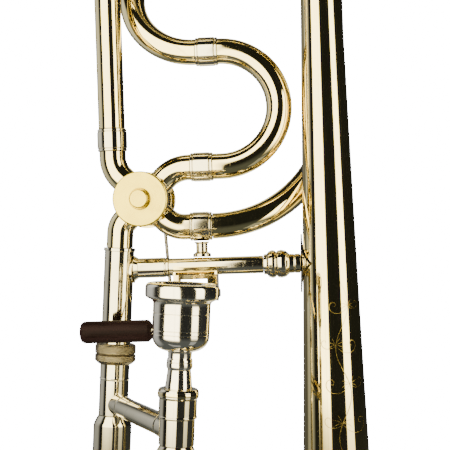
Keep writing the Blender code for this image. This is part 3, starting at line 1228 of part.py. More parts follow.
def make_link_rod(pin):
    """Rod from the lever's rear pin up to the stop arm; its top end stands beside the arm's boss."""
    turn = radians(ARM_START)
    back = -(CASING_BACK - GAP - BEARING_THICK - STOP_ARM_BACK - STOP_PIN)
    top = Vector((ROTOR_X + STOP_ARM_R * cos(turn), back + GAP + EYE_HALF, ROTOR_Z + STOP_ARM_R * sin(turn)))
    axis = axis_empty("link_rod_axis", at=pin)
    far = top - pin
    rod = swept("link_rod", [Vector((0, 0, 0)), far], LINK_ROD_R, "steel", sides=10, parent=axis)
    low_eye = turned_mesh("low_eye", plain_rod(EYE_R, -LOW_EYE_HALF, LOW_EYE_HALF), 12, True)
    combine(rod, tool("rod_low_eye", low_eye, axis, turn=(0, 90, 0)), "UNION")
    high_eye = turned_mesh("high_eye", plain_rod(EYE_R, -EYE_HALF, EYE_HALF), 12, True)
    combine(rod, tool("rod_high_eye", high_eye, axis, far, (90, 0, 0)), "UNION")


def make_lever_spring(pivot, start):
    """Torsion spring wound round the lever's barrel."""
    curl = 8
    radius = LEVER_BARREL_R / cos(pi / curl) + SPRING_WIRE_R * 1.2 + GAP
    first = start + SPRING_WIRE_R + GAP
    points = []
    for index in range(SPRING_TURNS * curl + 1):
        angle = 2 * pi * index / curl
        points.append(Vector((first + SPRING_PITCH * index / curl, radius * cos(angle), radius * sin(angle))))
    swept("lever_spring", points, SPRING_WIRE_R, "steel", sides=6, parent=pivot)


# Assembly

make_bell()
make_bell_sleeve()
make_gooseneck()
make_main_tuning_slide()
make_upper_brace()
make_valve()
f_ferrule_start, f_ferrule_end = make_f_loop()
make_bell_brace(f_ferrule_start, f_ferrule_end)
neck_axis = axis_empty("neck_axis", turn=(0, NECK_TILT, 0))
make_neck(neck_axis)
make_nut(neck_axis)
slide_frame = axis_empty("slide_frame", neck_axis, turn=(0, 0, -SLIDE_TURN))
barrel_hollow = make_fixed_slide(slide_frame)
make_hand_slide(slide_frame, barrel_hollow)
make_mouthpiece(slide_frame)
make_lever()
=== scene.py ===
# The looks of the tenor trombone: fine versions of its pieces, their metals, the studio and the camera.
# Metres, +Z up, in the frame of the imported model.

import json

import bpy
import bmesh
from math import radians, degrees, sin, cos, tan, pi, sqrt, acos, atan2
from mathutils import Vector, Matrix

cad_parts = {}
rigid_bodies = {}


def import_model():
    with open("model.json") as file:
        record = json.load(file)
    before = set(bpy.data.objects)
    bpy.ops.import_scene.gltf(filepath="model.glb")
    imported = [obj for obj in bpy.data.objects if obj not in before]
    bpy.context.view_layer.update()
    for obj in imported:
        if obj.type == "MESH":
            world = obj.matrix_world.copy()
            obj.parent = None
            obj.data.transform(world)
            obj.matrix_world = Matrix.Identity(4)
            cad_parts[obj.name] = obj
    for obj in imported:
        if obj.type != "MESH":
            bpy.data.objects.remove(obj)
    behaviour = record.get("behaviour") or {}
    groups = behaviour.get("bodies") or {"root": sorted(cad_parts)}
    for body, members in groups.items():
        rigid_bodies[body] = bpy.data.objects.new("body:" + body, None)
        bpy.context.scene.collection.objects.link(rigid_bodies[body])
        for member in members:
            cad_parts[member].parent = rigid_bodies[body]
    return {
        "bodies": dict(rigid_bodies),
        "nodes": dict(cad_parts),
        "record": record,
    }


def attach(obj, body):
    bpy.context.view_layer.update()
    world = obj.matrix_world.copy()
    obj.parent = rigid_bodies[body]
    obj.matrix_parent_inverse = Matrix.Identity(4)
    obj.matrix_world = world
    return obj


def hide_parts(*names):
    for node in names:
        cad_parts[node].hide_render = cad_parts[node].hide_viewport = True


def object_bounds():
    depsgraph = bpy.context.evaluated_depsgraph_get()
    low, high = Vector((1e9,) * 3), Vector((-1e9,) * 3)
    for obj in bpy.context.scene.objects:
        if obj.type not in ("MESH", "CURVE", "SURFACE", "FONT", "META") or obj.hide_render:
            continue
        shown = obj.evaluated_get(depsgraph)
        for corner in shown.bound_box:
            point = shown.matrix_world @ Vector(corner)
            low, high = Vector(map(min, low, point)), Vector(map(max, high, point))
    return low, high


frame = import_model()
cad_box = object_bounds()

# Rounded edges of turned pieces
EDGE_ROUND = 0.00022
EDGE_LEAST_BEND = radians(24)
EDGE_STEPS = 4
EDGE_SHARE = 0.4             # of a side that its rounding may take up
SHARP_FROM = radians(40)     # edges that stay sharp under soft shading
NEAR = 1e-6                  # points closer than this count as one
WELD = 1e-7

# General fits
MM = 0.001
GAP = 0.0003                 # between two pieces that touch
SIDES = 48                   # round pieces
CLOSE_SIDES = 64             # large round pieces that are seen close
FINE_SIDES = 24              # thin ones
TUBE_SIDES = 48              # bent tubes
ARC_STEP = 3                 # degrees of bend for each tube segment
LEAD = 0.0012                # straight end of a bent tube
WALL = 0.0005                # brass tube wall
EDGE = 0.0012                # chamfered edge of a turned piece
OVERCUT = 0.001              # how far a cutter passes through
CUTTER_HALF = 0.02           # half the length of a cutter that passes through with ease
BEAD_HEIGHT = 0.0015         # rolled bead at a tube's mouth
LINE_DEPTH = 0.00030         # fine turned line
LINE_HALF = 0.00022

# Places of the main tubes, seen from the front
BELL_X = 0.1243
GOOSENECK_X = -0.0013
ROTOR_X = 0.0169
ROTOR_Z = 0.0411
PORT_ANGLE = 45.0

# Bell: a cone that flares to its rim
BELL_RIM_Z = -0.340
BELL_TAIL_Z = 0.225
BELL_RIM_R = 0.108
BELL_WALL = 0.0006
BELL_CONE_R = 0.0152         # outer radius of the plain cone at z = 0
BELL_CONE_SLOPE = 0.02264
BELL_FLARE_LENGTH = 0.080
BELL_FLARE_POWER = 3
BELL_SIDES = 128
BELL_STEPS = 70
RIM_WIRE_R = 0.0019
RIM_FLAT = 0.0011            # width of the flat that the rolled rim stands on

# Engraving on the bell's front
ENGRAVED_LIFT = 0.00004      # above the bell's skin
ENGRAVED_HALF = 0.00022      # half the width of the stem's line
ENGRAVED_TOP = -0.010
ENGRAVED_LOW = -0.150
ENGRAVED_TURN = radians(18)  # round the bell, from its front to the right
ENGRAVED_SWING = 0.0042      # the stem's wave to each side
ENGRAVED_WAVES = 5.5         # half waves along the stem
STEM_STEPS = 120
PARTINGS = 6                 # places where volutes and leaves leave the stem
FIRST_PARTING = 12           # stem steps to the first, and from each to the next
PARTING_STEPS = 19
VOLUTE_SIZE = 0.0046
VOLUTE_GROWTH = 0.0006
VOLUTE_STEPS = 46
LEAF_STEPS = 12

# Main tubing of the bell section
MAIN_R = 0.0078
GOOSE_FERRULE_Z = 0.0703
GOOSE_FERRULE_LENGTH = 0.0130
FERRULE_WALL = 0.0009        # how far a ferrule stands out from its tube
FERRULE_SWELL = 0.0001       # and its middle a little more
FERRULE_RING = 0.00022       # its end rings stay below the middle by this
GOOSE_PORT_BEND = 0.0172
GOOSE_SLEEVE_Z = 0.190
MAIN_SLEEVE_TOP = 0.280
SLEEVE_WALL = 0.0006
SLEEVE_BEAD = 0.0008         # rolled bead at a slide sleeve's mouth
SLEEVE_BEAD_HEIGHT = 0.0020
TAIL_RING_HEIGHT = 0.0075    # collar of the bell's sleeve, and the shoulder above it
TAIL_SHOULDER_HEIGHT = 0.0105
MAIN_LEG_R = 0.00745
BELL_LEG_R = 0.0089
MAIN_LEG_INSERT = 0.048
MAIN_BOW_RISE = 0.0125       # from the sleeves' top to where the bow starts
MAIN_BOW_SWELL = 0.0003      # the bow's radius beyond its leg's
MAIN_BRACE_R = 0.0035
MAIN_BRACE_LOW = 0.0022      # brace's surface to the bow's end
UPPER_BRACE_Z = 0.180
UPPER_BRACE_R = 0.0042
UPPER_BRACE_FLARE = 0.0018
STAY_FOOT = 0.0022           # length of a stay's flared foot
KNOP = 0.0012                # how far a stay's middle knop stands out
KNOP_HALF = 0.0030
KNOP_SLOPE = 0.0010

# Rotary valve, its own axis pointing at the front
CASING_SIDES = 64
CASING_R = 0.0146
CASING_BORE_R = 0.0131
CASING_FRONT = 0.0142
CASING_BACK = -0.0130
FLANGE_R = 0.0169
FLANGE_THICK = 0.0035
NIPPLE_END = 0.0156          # port nipples, from the valve's axis
CAP_R = 0.0159
CAP_FRONT = 0.0203
CAP_SKIN = 0.0014
CAP_BOSS_R = 0.0062
CAP_BOSS_FACE_R = 0.0048
CAP_BOSS_ROUND = 0.0008
CAP_BOSS_HEIGHT = 0.0058
CAP_LINES = (0.0137, 0.0099, 0.0082)      # radii of the turned lines on its face
CAP_CIRCLES = 14000.0        # lathe circles, radians of wave for each metre
ROTOR_R = 0.0127
ROTOR_HALF = 0.0108
ROTOR_PASSAGE_R = 0.0064
ROTOR_PASSAGE_OFFSET = 0.0092
SPINDLE_R = 0.0028
BEARING_THICK = 0.0028
BEARING_BOSS_R = 0.0052      # raised centre of the bearing plate, and the stop arm's hub
BEARING_STEP = 0.0008        # how far that centre stands out
ROTOR_STEP = 0.0020          # spindle's shoulder
ROTOR_STEP_HEIGHT = 0.0008
ROTOR_NOSE = 0.0030          # front spindle beyond the casing
STOP_ARM_R = 0.0110          # spindle to link pin
STOP_ARM_THICK = 0.0030
STOP_ARM_BACK = 0.0046       # spindle end to the bearing plate
STOP_ARM_HALF = 0.0021
STOP_ARM_RISE = 0.0004       # arm's lower side above its hub's
STOP_PIN_R = 0.0026
STOP_PIN = 0.0022
STOP_BLOCK_LEFT = -0.0150    # the stop block and its bumpers, from the valve's axis
STOP_BLOCK_RIGHT = -0.0062
STOP_BLOCK_HALF = 0.0040
STOP_BLOCK_HIGH = 0.0026
STOP_BLOCK_SUNK = 0.0014
STOP_BUMPER_X = -0.0095
STOP_BUMPER_APART = 0.0018
STOP_BUMPER_R = 0.0013
STOP_BUMPER_HIGH = 0.0020
ARM_START = -45.0            # angle of the stop arm at rest

# F loop
F_R = 0.0076
F_PORT_BEND = 0.0204
F_FERRULE_LENGTH = 0.0135
F_U_BEND = 0.0346
F_U_TILT = 6.5               # the U leans back by this
F_U_RUN = 0.0050
F_TOP_RUN = 0.0006
F_S_BEND = 0.0380
F_S_LEAN = 21.0              # the swept bend leans back by this, then stands up
F_S_EASE = 0.0400
F_LOWER_BACK = 3.0           # the lower elbow and ferrule head back by this
F_LOWER_PORT_BEND = 0.0160
F_LOWER_RUN = 0.0026
F_LOWER_FIRST_BEND = 0.0621  # the branch swings back and climbs at once
F_LOWER_SWING = 26.9
F_LOWER_CLIMB = 29.2
F_LOWER_MIDDLE_RUN = 0.0016
F_LOWER_BEND = 0.0758
F_SLEEVE_Z = 0.184
F_SLEEVE_TOP = 0.236
F_LEG_R = 0.0070
F_LEG_INSERT = 0.048
F_BOW_RISE = 0.0110
STAY_R = 0.0028
STAY_FLARE = 0.0008
STAY_Z = 0.206

# Bell brace, low, between the neckpipe and the bell
BRACE_Z = 0.0008
BRACE_LEFT_R = 0.0059
BRACE_R = 0.0052
BRACE_JOINT_X = 0.0283
BRACE_COLLAR_X = 0.0858
BRACE_COLLAR_LENGTH = 0.0148
BRACE_COLLAR_R = 0.0083
BRACE_SLEEVE_R = 0.0057
SADDLE_THICK = 0.0010
BELL_SEAT_HALF = 0.012       # height of the bell that the collar is cut to, each way
SADDLE_SPARE = 0.002         # a saddle's shell beyond its outline
BELL_SADDLE_HALF = 0.0170
BELL_SADDLE_WIDE = 0.0120
NECK_SADDLE_HALF = 0.0072
POST_X = 0.0497
POST_R = 0.0034
POST_FOOT_R = 0.0053

# Neckpipe and hand slide, about the neck's axis, which leans from the bell's
NECK_TILT = 4.3
NECK_TOP = 0.0132
NECK_BOTTOM = -0.0431
NECK_R = 0.0087
NECK_BEAD_R = 0.0093
NECK_BEAD_HEIGHT = 0.0018
NUT_TOP = -0.0434
NUT_LENGTH = 0.0117
NUT_R = 0.0120
KNURL_AROUND = 72.0          # ridges round the nut
KNURL_ALONG = 4200.0         # radians of wave for each metre of height
TENON_R = 0.0086
TENON_RING_RISE = 0.0065     # its ring above the middle of what shows
SHOULDER_Z = -0.0855
SHOULDER_HEIGHT = 0.0057
SLIDE_SPACING = 0.0881
SLIDE_TUBES = (("left", 0), ("right", SLIDE_SPACING))
SLIDE_TURN = 58.3
BARREL_R = 0.01125
BARREL_WALL = 0.0010
BARREL_BOTTOM = -0.178
INNER_R = 0.0071
INNER_BOTTOM = -0.722
LEADPIPE_LENGTH = 0.165
OUTER_R = 0.0080
OUTER_TOP = -0.102
OUTER_COLLAR = 0.006         # height of the tube's widened top
OUTER_BOTTOM = -0.736
INNER_BRACE_Z = -0.0785
INNER_BRACE_R = 0.0061
OUTER_BRACE_Z = -0.204
OUTER_BRACE_R = 0.0054
OUTER_SADDLE_HEIGHT = 0.0300
BRACE_RING_X = 0.0165        # a turned ring this far from each tube's axis
BRACE_RING_HALF = 0.0008
BRACE_RING_HEIGHT = 0.0004
OUTER_FERRULE_WALL = 0.0009
BOW_FERRULE_LENGTH = 0.0170
BOW_FERRULE_RISE = 0.0040
BUMPER_R = 0.0080
BUMPER_LENGTH = 0.0110
SOCKET_LENGTH = 0.0060
LOCK_HEIGHT = 0.0120
LOCK_LUG = 0.0090
LOCK_CLEARANCE = 0.0005
LOCK_RISE = 0.0032           # ring's lower edge above the barrel's end
LOCK_WALL = 0.0014
LOCK_BEAD = 0.0004
LOCK_BEAD_HEIGHT = 0.0020
LOCK_TAB_HALF = 0.0030
LOCK_TAB_OUT = 0.0045
LUG_WALL = 0.0036            # catch on the outer slide
LUG_STEP = 0.0014
LUG_ROOT = 0.0040
BARREL_BAND = 0.0004
BARREL_BAND_HEIGHT = 0.0028

# Mouthpiece and its receiver
RECEIVER_TOP = -0.0560
RECEIVER_BEAD_R = 0.0107
RECEIVER_BEAD = 0.0051
RECEIVER_R = 0.0100
RECEIVER_STEP_Z = -0.0704
RECEIVER_LOW_R = 0.0093
RECEIVER_SPARE = 0.0006      # its taper beyond the mouthpiece's tip
MOUTH_RIM_TOP = -0.0013
MOUTH_RIM_R = 0.0194
MOUTH_RIM_HEIGHT = 0.0085
MOUTH_CUP_R = 0.0150
MOUTH_CUP_STRAIGHT = 0.0272  # rim top to where the cup starts to close
MOUTH_NECK_R = 0.0063
MOUTH_NECK_AT = 0.0352
MOUTH_SHANK_R = 0.0071
MOUTH_TIP_R = 0.0063
MOUTH_INSERT = 0.0260
MOUTH_THROAT_R = 0.0034
MOUTH_BITE_R = 0.0128
MOUTH_BITE_DEPTH = 0.0026    # rim top to the bite, where the cup begins
MOUTH_WAIST = 0.0004         # the cup's foot beyond the neck
MOUTH_CUP_DEPTH = 0.0250
MOUTH_LINES = (0.0156, 0.0243, 0.0264)    # turned lines on the cup, below the rim's top

# Thumb lever of the valve
LEVER_Y = -0.0010
LEVER_Z = -0.0150
LEVER_BARREL_R = 0.0030
LEVER_REAR = 0.0264
LEVER_TURN = 34.3
LEVER_PIN_X = 0.0280
AXLE_R = 0.0012
BRACKET_X0 = 0.0330
BRACKET_X1 = 0.0586
BRACKET_SKIN = 0.0013
BRACKET_DEPTH = 0.0205       # how far it hangs below the brace's axis
BRACKET_HALF = 0.0072
BRACKET_APRON_TOP = 0.0046   # these heights are below the brace's axis
BRACKET_APRON_LOW = 0.0132
BRACKET_SADDLE_LOW = 0.0012
BRACKET_CHEEK_SIDE = 0.0128
BRACKET_UPPER_CUT = 0.0008   # the saddle ends this far above the brace's axis
WINDOW_LEFT = 0.0046         # margins of the apron's window
WINDOW_RIGHT = 0.0058
WINDOW_LOW = 0.0016
WINDOW_TOP = 0.0026
WINDOW_DEPTH = 0.003
ROLLER_X0 = -0.0167
ROLLER_X1 = 0.0235
ROLLER_Y = -0.0370
ROLLER_Z = -0.0327
ROLLER_R = 0.0062
LEVER_ROD_R = 0.0019
LINK_ROD_R = 0.00107
EYE_R = 0.0028               # link rod's eyes
EYE_HALF = 0.0012
LOW_EYE_HALF = 0.0014
AXLE_HEAD_R = 0.0022
AXLE_HEAD = 0.0014
ROLLER_BORE = 0.0130
ARM_X = 0.0095               # lever's rear arm, along the axle
FRONT_ARM_X = 0.0150
SPRING_TURNS = 4
SPRING_STEPS = 24            # for each turn
SPRING_PITCH = 0.0012
SPRING_WIRE_R = 0.00036

# Water key on the slide bow
KEY_OFFSET = 0.0130          # nipple to pivot
KEY_TOUCH = 0.0170           # pivot to finger end
KEY_NIPPLE = 0.0030
KEY_PAD = 0.0013
KEY_HEAD = 0.0016
KEY_HEAD_R = 0.0036
KEY_ARM_R = 0.0013
KEY_POST = 0.0060
KEY_BARREL_R = 0.0022
KEY_NIPPLE_R = 0.0024
KEY_HOLE_R = 0.0014
KEY_POST_R = 0.0026
KEY_FOOT_R = 0.0042          # the post's foot on the bow
KEY_PAD_INSET = 0.0004
KEY_STRIP_START = 0.0024     # from the hinge post's axis
KEY_STRIP_HALF = 0.0012
KEY_STRIP_THICK = 0.0010
KEY_BARREL_HALF = 0.0042
KEY_FINGER = (-0.0040, 0.0030)            # the finger end's Y and Z from the pivot

# Studio and camera
SLIDE_REACH = 0.58           # the hand slide's travel, which the floor leaves room for
FLOOR_GAP = 0.02
FLOOR_THICK = 0.01
FLOOR_R = 2.4
FLOOR_SIDES = 96
SOFT_EDGE = 0.06             # share of a light panel's width over which it fades
LIT_PLACE = Vector((0.06, 0, 0))          # what the panels face
WARM = (1.0, 0.91, 0.60)
COOL = (0.98, 1.0, 1.0)
BACKDROP = 18.0              # strength of the white behind, for the camera alone
CAMERA_PLACE = Vector((0.10812, -0.63400, 0.02456))
CAMERA_TURN = radians(4.0)
CAMERA_ROLL = radians(1.95)
SENSOR = 36.0
FOCAL_PIXELS = 1083
PHOTO_PIXELS = 450

# Directions
RIGHT = Vector((1, 0, 0))
LEFT = Vector((-1, 0, 0))
UP = Vector((0, 0, 1))
DOWN = Vector((0, 0, -1))
BACK = Vector((0, 1, 0))

# Pieces are gathered here as they are made
PIECES = {}                  # node name: piece and finish
EXTRAS = []                  # fine pieces that stand for no node: piece, finish, and the node that carries it


def put(name, data, parent=None, at=(0, 0, 0), turn=(0, 0, 0)):
    """A new object in the scene, turned by degrees."""
    piece = bpy.data.objects.new(name, data)
    bpy.context.scene.collection.objects.link(piece)
    piece.location = at
    piece.rotation_euler = [radians(angle) for angle in turn]
    piece.parent = parent
    return piece


def axis_empty(name, parent=None, at=(0, 0, 0), turn=(0, 0, 0)):
    return put(name, None, parent, at, turn)


def finish(piece, kind):
    """Notes the piece under the node that it stands for."""
    node = piece.name.split(".")[0]
    if node in frame["nodes"]:
        PIECES[node] = (piece, kind)
    return piece


def extra(name, mesh, kind, carrier, parent=None, at=(0, 0, 0), turn=(0, 0, 0)):
    """A fine piece of its own, on the body of the node that carries it."""
    EXTRAS.append((put(name, mesh, parent, at, turn), kind, carrier))


def as_mesh(bm):
    mesh = bpy.data.meshes.new("shape")
    bm.to_mesh(mesh)
    bm.free()
    return mesh


# Turned pieces

def softened(outline, solid):
    """The outline with each clear corner rounded, so that edges catch the light."""
    points = [Vector((radius, height)) for radius, height in outline]
    count = len(points)
    rounded = []
    for index, point in enumerate(points):
        before = points[index - 1] - point
        after = points[(index + 1) % count] - point
        on_axis = solid and index in (0, count - 1)
        if on_axis or min(before.length, after.length) < NEAR or pi - before.angle(after) < EDGE_LEAST_BEND:
            rounded.append(point)
            continue
        reach = min(EDGE_ROUND, before.length * EDGE_SHARE, after.length * EDGE_SHARE)
        start = point + before.normalized() * reach
        end = point + after.normalized() * reach
        for step in range(EDGE_STEPS + 1):
            share = step / EDGE_STEPS
            rounded.append(start * (1 - share) ** 2 + point * 2 * share * (1 - share) + end * share ** 2)
    return [(point.x, point.y) for point in rounded]


def turned_mesh(outline, sides=SIDES, solid=False):
    """Spins an outline of (radius, height) points about Z. A solid one starts and ends on the axis."""
    bm = bmesh.new()
    points = [bm.verts.new((radius, 0, height)) for radius, height in softened(outline, solid)]
    edges = [bm.edges.new(pair) for pair in zip(points, points[1:])]
    if not solid:
        edges.append(bm.edges.new((points[-1], points[0])))
    bmesh.ops.spin(bm, geom=points + edges, cent=(0, 0, 0), axis=(0, 0, 1),
                   angle=2 * pi, steps=sides, use_merge=True)
    bmesh.ops.remove_doubles(bm, verts=bm.verts, dist=WELD)
    bmesh.ops.recalc_face_normals(bm, faces=bm.faces)
    return as_mesh(bm)


def turned(name, outline, kind, parent=None, at=(0, 0, 0), turn=(0, 0, 0), sides=SIDES, solid=False):
    return finish(put(name, turned_mesh(outline, sides, solid), parent, at, turn), kind)


def tube_outline(outer, inner, bottom, top, bead=0.0, bead_height=BEAD_HEIGHT, bottom_bead=False):
    """A plain tube, with an optional raised bead at its top, or at both ends."""
    points = [(inner, bottom)]
    if bottom_bead:
        points += [(outer + bead, bottom), (outer + bead, bottom + bead_height),
                   (outer, bottom + bead_height)]
    else:
        points.append((outer, bottom))
    if bead:
        points += [(outer, top - bead_height), (outer + bead, top - bead_height), (outer + bead, top)]
    else:
        points.append((outer, top))
    return points + [(inner, top)]


def offsets(first, second, *steps):
    """Outline points by their distances in millimetres from one place."""
    return [(first + one * MM, second + other * MM) for one, other in steps]


def rod_outline(stations):
    """A solid turned piece from (height, radius) stations, closed on the axis at both ends."""
    return [(0, stations[0][0])] + [(radius, height) for height, radius in stations] + [(0, stations[-1][0])]


def plain_rod(radius, low, high):
    return rod_outline([(low, radius), (high, radius)])


def rod_mesh(radius, low, high, sides=SIDES):
    """A plain cylinder about Z."""
    return turned_mesh(plain_rod(radius, low, high), sides, True)


# Pieces that are placed by a matrix; a shape is a mesh and its matrix

def placed(name, shape, kind, parent=None):
    mesh, place = shape
    mesh.transform(place)
    return finish(put(name, mesh, parent), kind)


def add(piece, name, shape, parent=None):
    """Joins a shape to a piece as one body."""
    mesh, place = shape
    mesh.transform(place)
    join(piece, name, mesh, parent)


def along(start, direction):
    """Places a mesh that runs up its own Z so that it runs along a direction."""
    spin = UP.rotation_difference(Vector(direction)).to_matrix().to_4x4()
    return Matrix.Translation(start) @ spin


def axes_matrix(x_axis, y_axis, z_axis):
    return Matrix((x_axis, y_axis, z_axis)).transposed().to_4x4()


# Bent tubes

def route(start, heading, moves):
    """Points along straight runs, ("run", length), and bends, ("turn", radius, new heading)."""
    place = Vector(start)
    heading = Vector(heading).normalized()
    points = [place.copy()]
    for move in moves:
        if move[0] == "run":
            place = place + heading * move[1]
            points.append(place.copy())
            continue
        radius = move[1]
        aim = Vector(move[2]).normalized()
        axis = heading.cross(aim).normalized()
        angle = acos(max(-1.0, min(1.0, heading.dot(aim))))
        centre = place + axis.cross(heading) * radius
        count = max(2, round(degrees(angle) / ARC_STEP))
        for index in range(1, count + 1):
            spin = Matrix.Rotation(angle * index / count, 3, axis)
            points.append(centre + spin @ (place - centre))
        place = points[-1].copy()
        heading = aim
    return points


def cornered(start, corner, end, radius):
    """Points from start to end with one bend where their straight lines cross."""
    first = (corner - start).normalized()
    second = (end - corner).normalized()
    tangent = radius * tan(first.angle(second) / 2)
    return route(start, first, [("run", (corner - start).length - tangent), ("turn", radius, second),
                                ("run", (end - corner).length - tangent)])


def bow_route(start, heading, across, bend):
    """Points round a U: up one leg, over, and back down the other."""
    return route(start, heading, [("run", LEAD), ("turn", bend, across), ("turn", bend, -heading),
                                  ("run", LEAD)])


def swept(name, points, radius, kind, wall=None, sides=TUBE_SIDES, parent=None, radii=None):
    """A round tube along the points; solid with filled ends when it has no wall."""
    curve = bpy.data.curves.new(name, "CURVE")
    curve.dimensions = "3D"
    curve.bevel_depth = radius
    curve.bevel_resolution = (sides - 4) // 2
    curve.use_fill_caps = wall is None
    spline = curve.splines.new("POLY")
    spline.points.add(len(points) - 1)
    for index, (slot, point) in enumerate(zip(spline.points, points)):
        slot.co = (*point, 1.0)
        slot.radius = radii[index] if radii else 1.0
    guide = put(name + "_guide", curve)
    mesh = bpy.data.meshes.new_from_object(guide.evaluated_get(bpy.context.evaluated_depsgraph_get()))
    bpy.data.objects.remove(guide, do_unlink=True)
    weld(mesh)
    piece = finish(put(name, mesh, parent), kind)
    if wall is not None:
        shell = piece.modifiers.new("wall", "SOLIDIFY")
        shell.thickness = wall
        shell.offset = -1
        shell.use_rim = True
        shell.use_even_offset = True
    return piece


def brass_tube(name, points, radius, parent=None, radii=None):
    swept(name, points, radius, "brass", WALL, parent=parent, radii=radii)


def weld(mesh):
    bm = bmesh.new()
    bm.from_mesh(mesh)
    bmesh.ops.remove_doubles(bm, verts=bm.verts, dist=WELD)
    bmesh.ops.recalc_face_normals(bm, faces=bm.faces)
    bm.to_mesh(mesh)
    bm.free()
    mesh.materials.clear()


# Prisms, cuts and joins

def prism_mesh(corners, low, high):
    """An outline of (x, y) corners, extruded along Z from low to high."""
    bm = bmesh.new()
    face = bm.faces.new([bm.verts.new((x, y, low)) for x, y in corners])
    lifted = bmesh.ops.extrude_face_region(bm, geom=[face])
    moved = [item for item in lifted["geom"] if isinstance(item, bmesh.types.BMVert)]
    bmesh.ops.translate(bm, verts=moved, vec=(0, 0, high - low))
    bmesh.ops.recalc_face_normals(bm, faces=bm.faces)
    return as_mesh(bm)


def box_corners(x0, y0, x1, y1):
    return [(x0, y0), (x1, y0), (x1, y1), (x0, y1)]


def combine(piece, other, operation):
    step = piece.modifiers.new(other.name, "BOOLEAN")
    step.object = other
    step.operation = operation
    step.solver = "EXACT"


def join(piece, name, mesh, parent=None, at=(0, 0, 0), turn=(0, 0, 0)):
    combine(piece, put(name, mesh, parent, at, turn), "UNION")


def cut(piece, name, mesh, parent=None, at=(0, 0, 0), turn=(0, 0, 0)):
    combine(piece, put(name, mesh, parent, at, turn), "DIFFERENCE")


# Ports of the valve

def diagonal(right, up):
    """Unit direction of a valve port, seen from the front."""
    angle = radians(PORT_ANGLE)
    return Vector((right * cos(angle), 0, up * sin(angle)))


def port_start(right, up):
    """Where a port's tube starts, clear of the casing's nipple."""
    return Vector((ROTOR_X, 0, ROTOR_Z)) + diagonal(right, up) * (NIPPLE_END + GAP)


# Bell

def bell_radius(z):
    reach = z - BELL_RIM_Z
    cone = BELL_CONE_R - BELL_CONE_SLOPE * z
    rim_cone = BELL_CONE_R - BELL_CONE_SLOPE * BELL_RIM_Z
    flare = (BELL_RIM_R - rim_cone) * (BELL_FLARE_LENGTH / (reach + BELL_FLARE_LENGTH)) ** BELL_FLARE_POWER
    return cone + flare


def make_bell():
    """The whole bell in one sweep, its edge rolled over a wire, flat where it stands."""
    rim_r = BELL_RIM_R - RIM_WIRE_R
    low = BELL_RIM_Z + RIM_WIRE_R * 2
    heights = [low + (BELL_TAIL_Z - low) * (index / BELL_STEPS) ** 1.6 for index in range(BELL_STEPS + 1)]
    outline = [(bell_radius(z), z) for z in reversed(heights)]
    for index in range(13):
        turn = radians(60 - index * 12.5)
        outline.append((rim_r + RIM_WIRE_R * cos(turn), BELL_RIM_Z + RIM_WIRE_R * (1 + sin(turn))))
    outline += [(rim_r + RIM_FLAT / 2, BELL_RIM_Z), (rim_r - RIM_FLAT / 2, BELL_RIM_Z)]
    outline.append((rim_r - RIM_WIRE_R * 0.95, BELL_RIM_Z + RIM_WIRE_R * 0.75))
    outline += [(bell_radius(z) - BELL_WALL, z) for z in heights]
    turned("bell", outline, "brass", at=(BELL_X, 0, 0), sides=BELL_SIDES)


def make_bell_sleeve():
    """Nickel sleeve at the bell's tail that takes the tuning slide's wide leg."""
    inner = BELL_LEG_R + GAP
    tail = bell_radius(BELL_TAIL_Z)
    low = BELL_TAIL_Z + GAP
    outline = [(inner, low), (tail + FERRULE_WALL * 0.6, low), (tail + FERRULE_WALL, low + EDGE),
               (tail + FERRULE_WALL, low + TAIL_RING_HEIGHT),
               (inner + SLEEVE_WALL, low + TAIL_SHOULDER_HEIGHT)]
    outline += tube_outline(inner + SLEEVE_WALL, inner, low, MAIN_SLEEVE_TOP, SLEEVE_BEAD)[2:]
    turned("bell_slide_sleeve", outline, "nickel", at=(BELL_X, 0, 0))


# Gooseneck and main tuning slide

def make_gooseneck():
    port = port_start(-1, 1)
    ferrule_low = GOOSE_FERRULE_Z
    ferrule_top = ferrule_low + GOOSE_FERRULE_LENGTH
    away = diagonal(-1, 1)
    corner = port + away * ((GOOSENECK_X - port.x) / away.x)
    end = Vector((GOOSENECK_X, 0, ferrule_low - GAP))
    brass_tube("gooseneck_elbow", cornered(port, corner, end, GOOSE_PORT_BEND), MAIN_R)
    ferrule_r = MAIN_R + FERRULE_WALL
    outline = ringed_outline(ferrule_r + FERRULE_SWELL, MAIN_R - WALL, ferrule_low, ferrule_top)
    turned("gooseneck_ferrule", outline, "nickel", at=(GOOSENECK_X, 0, 0))
    tube = tube_outline(MAIN_R, MAIN_R - WALL, ferrule_top + GAP, GOOSE_SLEEVE_Z - GAP)
    turned("gooseneck_tube", tube, "brass", at=(GOOSENECK_X, 0, 0))


def slide_leg(radius, insert, rise):
    """A tuning slide's leg with the stop ferrule that joins it to the bow, from its sleeve's top."""
    stop_r = radius + GAP + SLEEVE_WALL
    outline = [(radius - WALL, -insert), (radius, -insert), (radius, GAP), (stop_r, GAP),
               (stop_r, rise - GAP), (radius - WALL, rise - GAP)]
    return turned_mesh(outline)


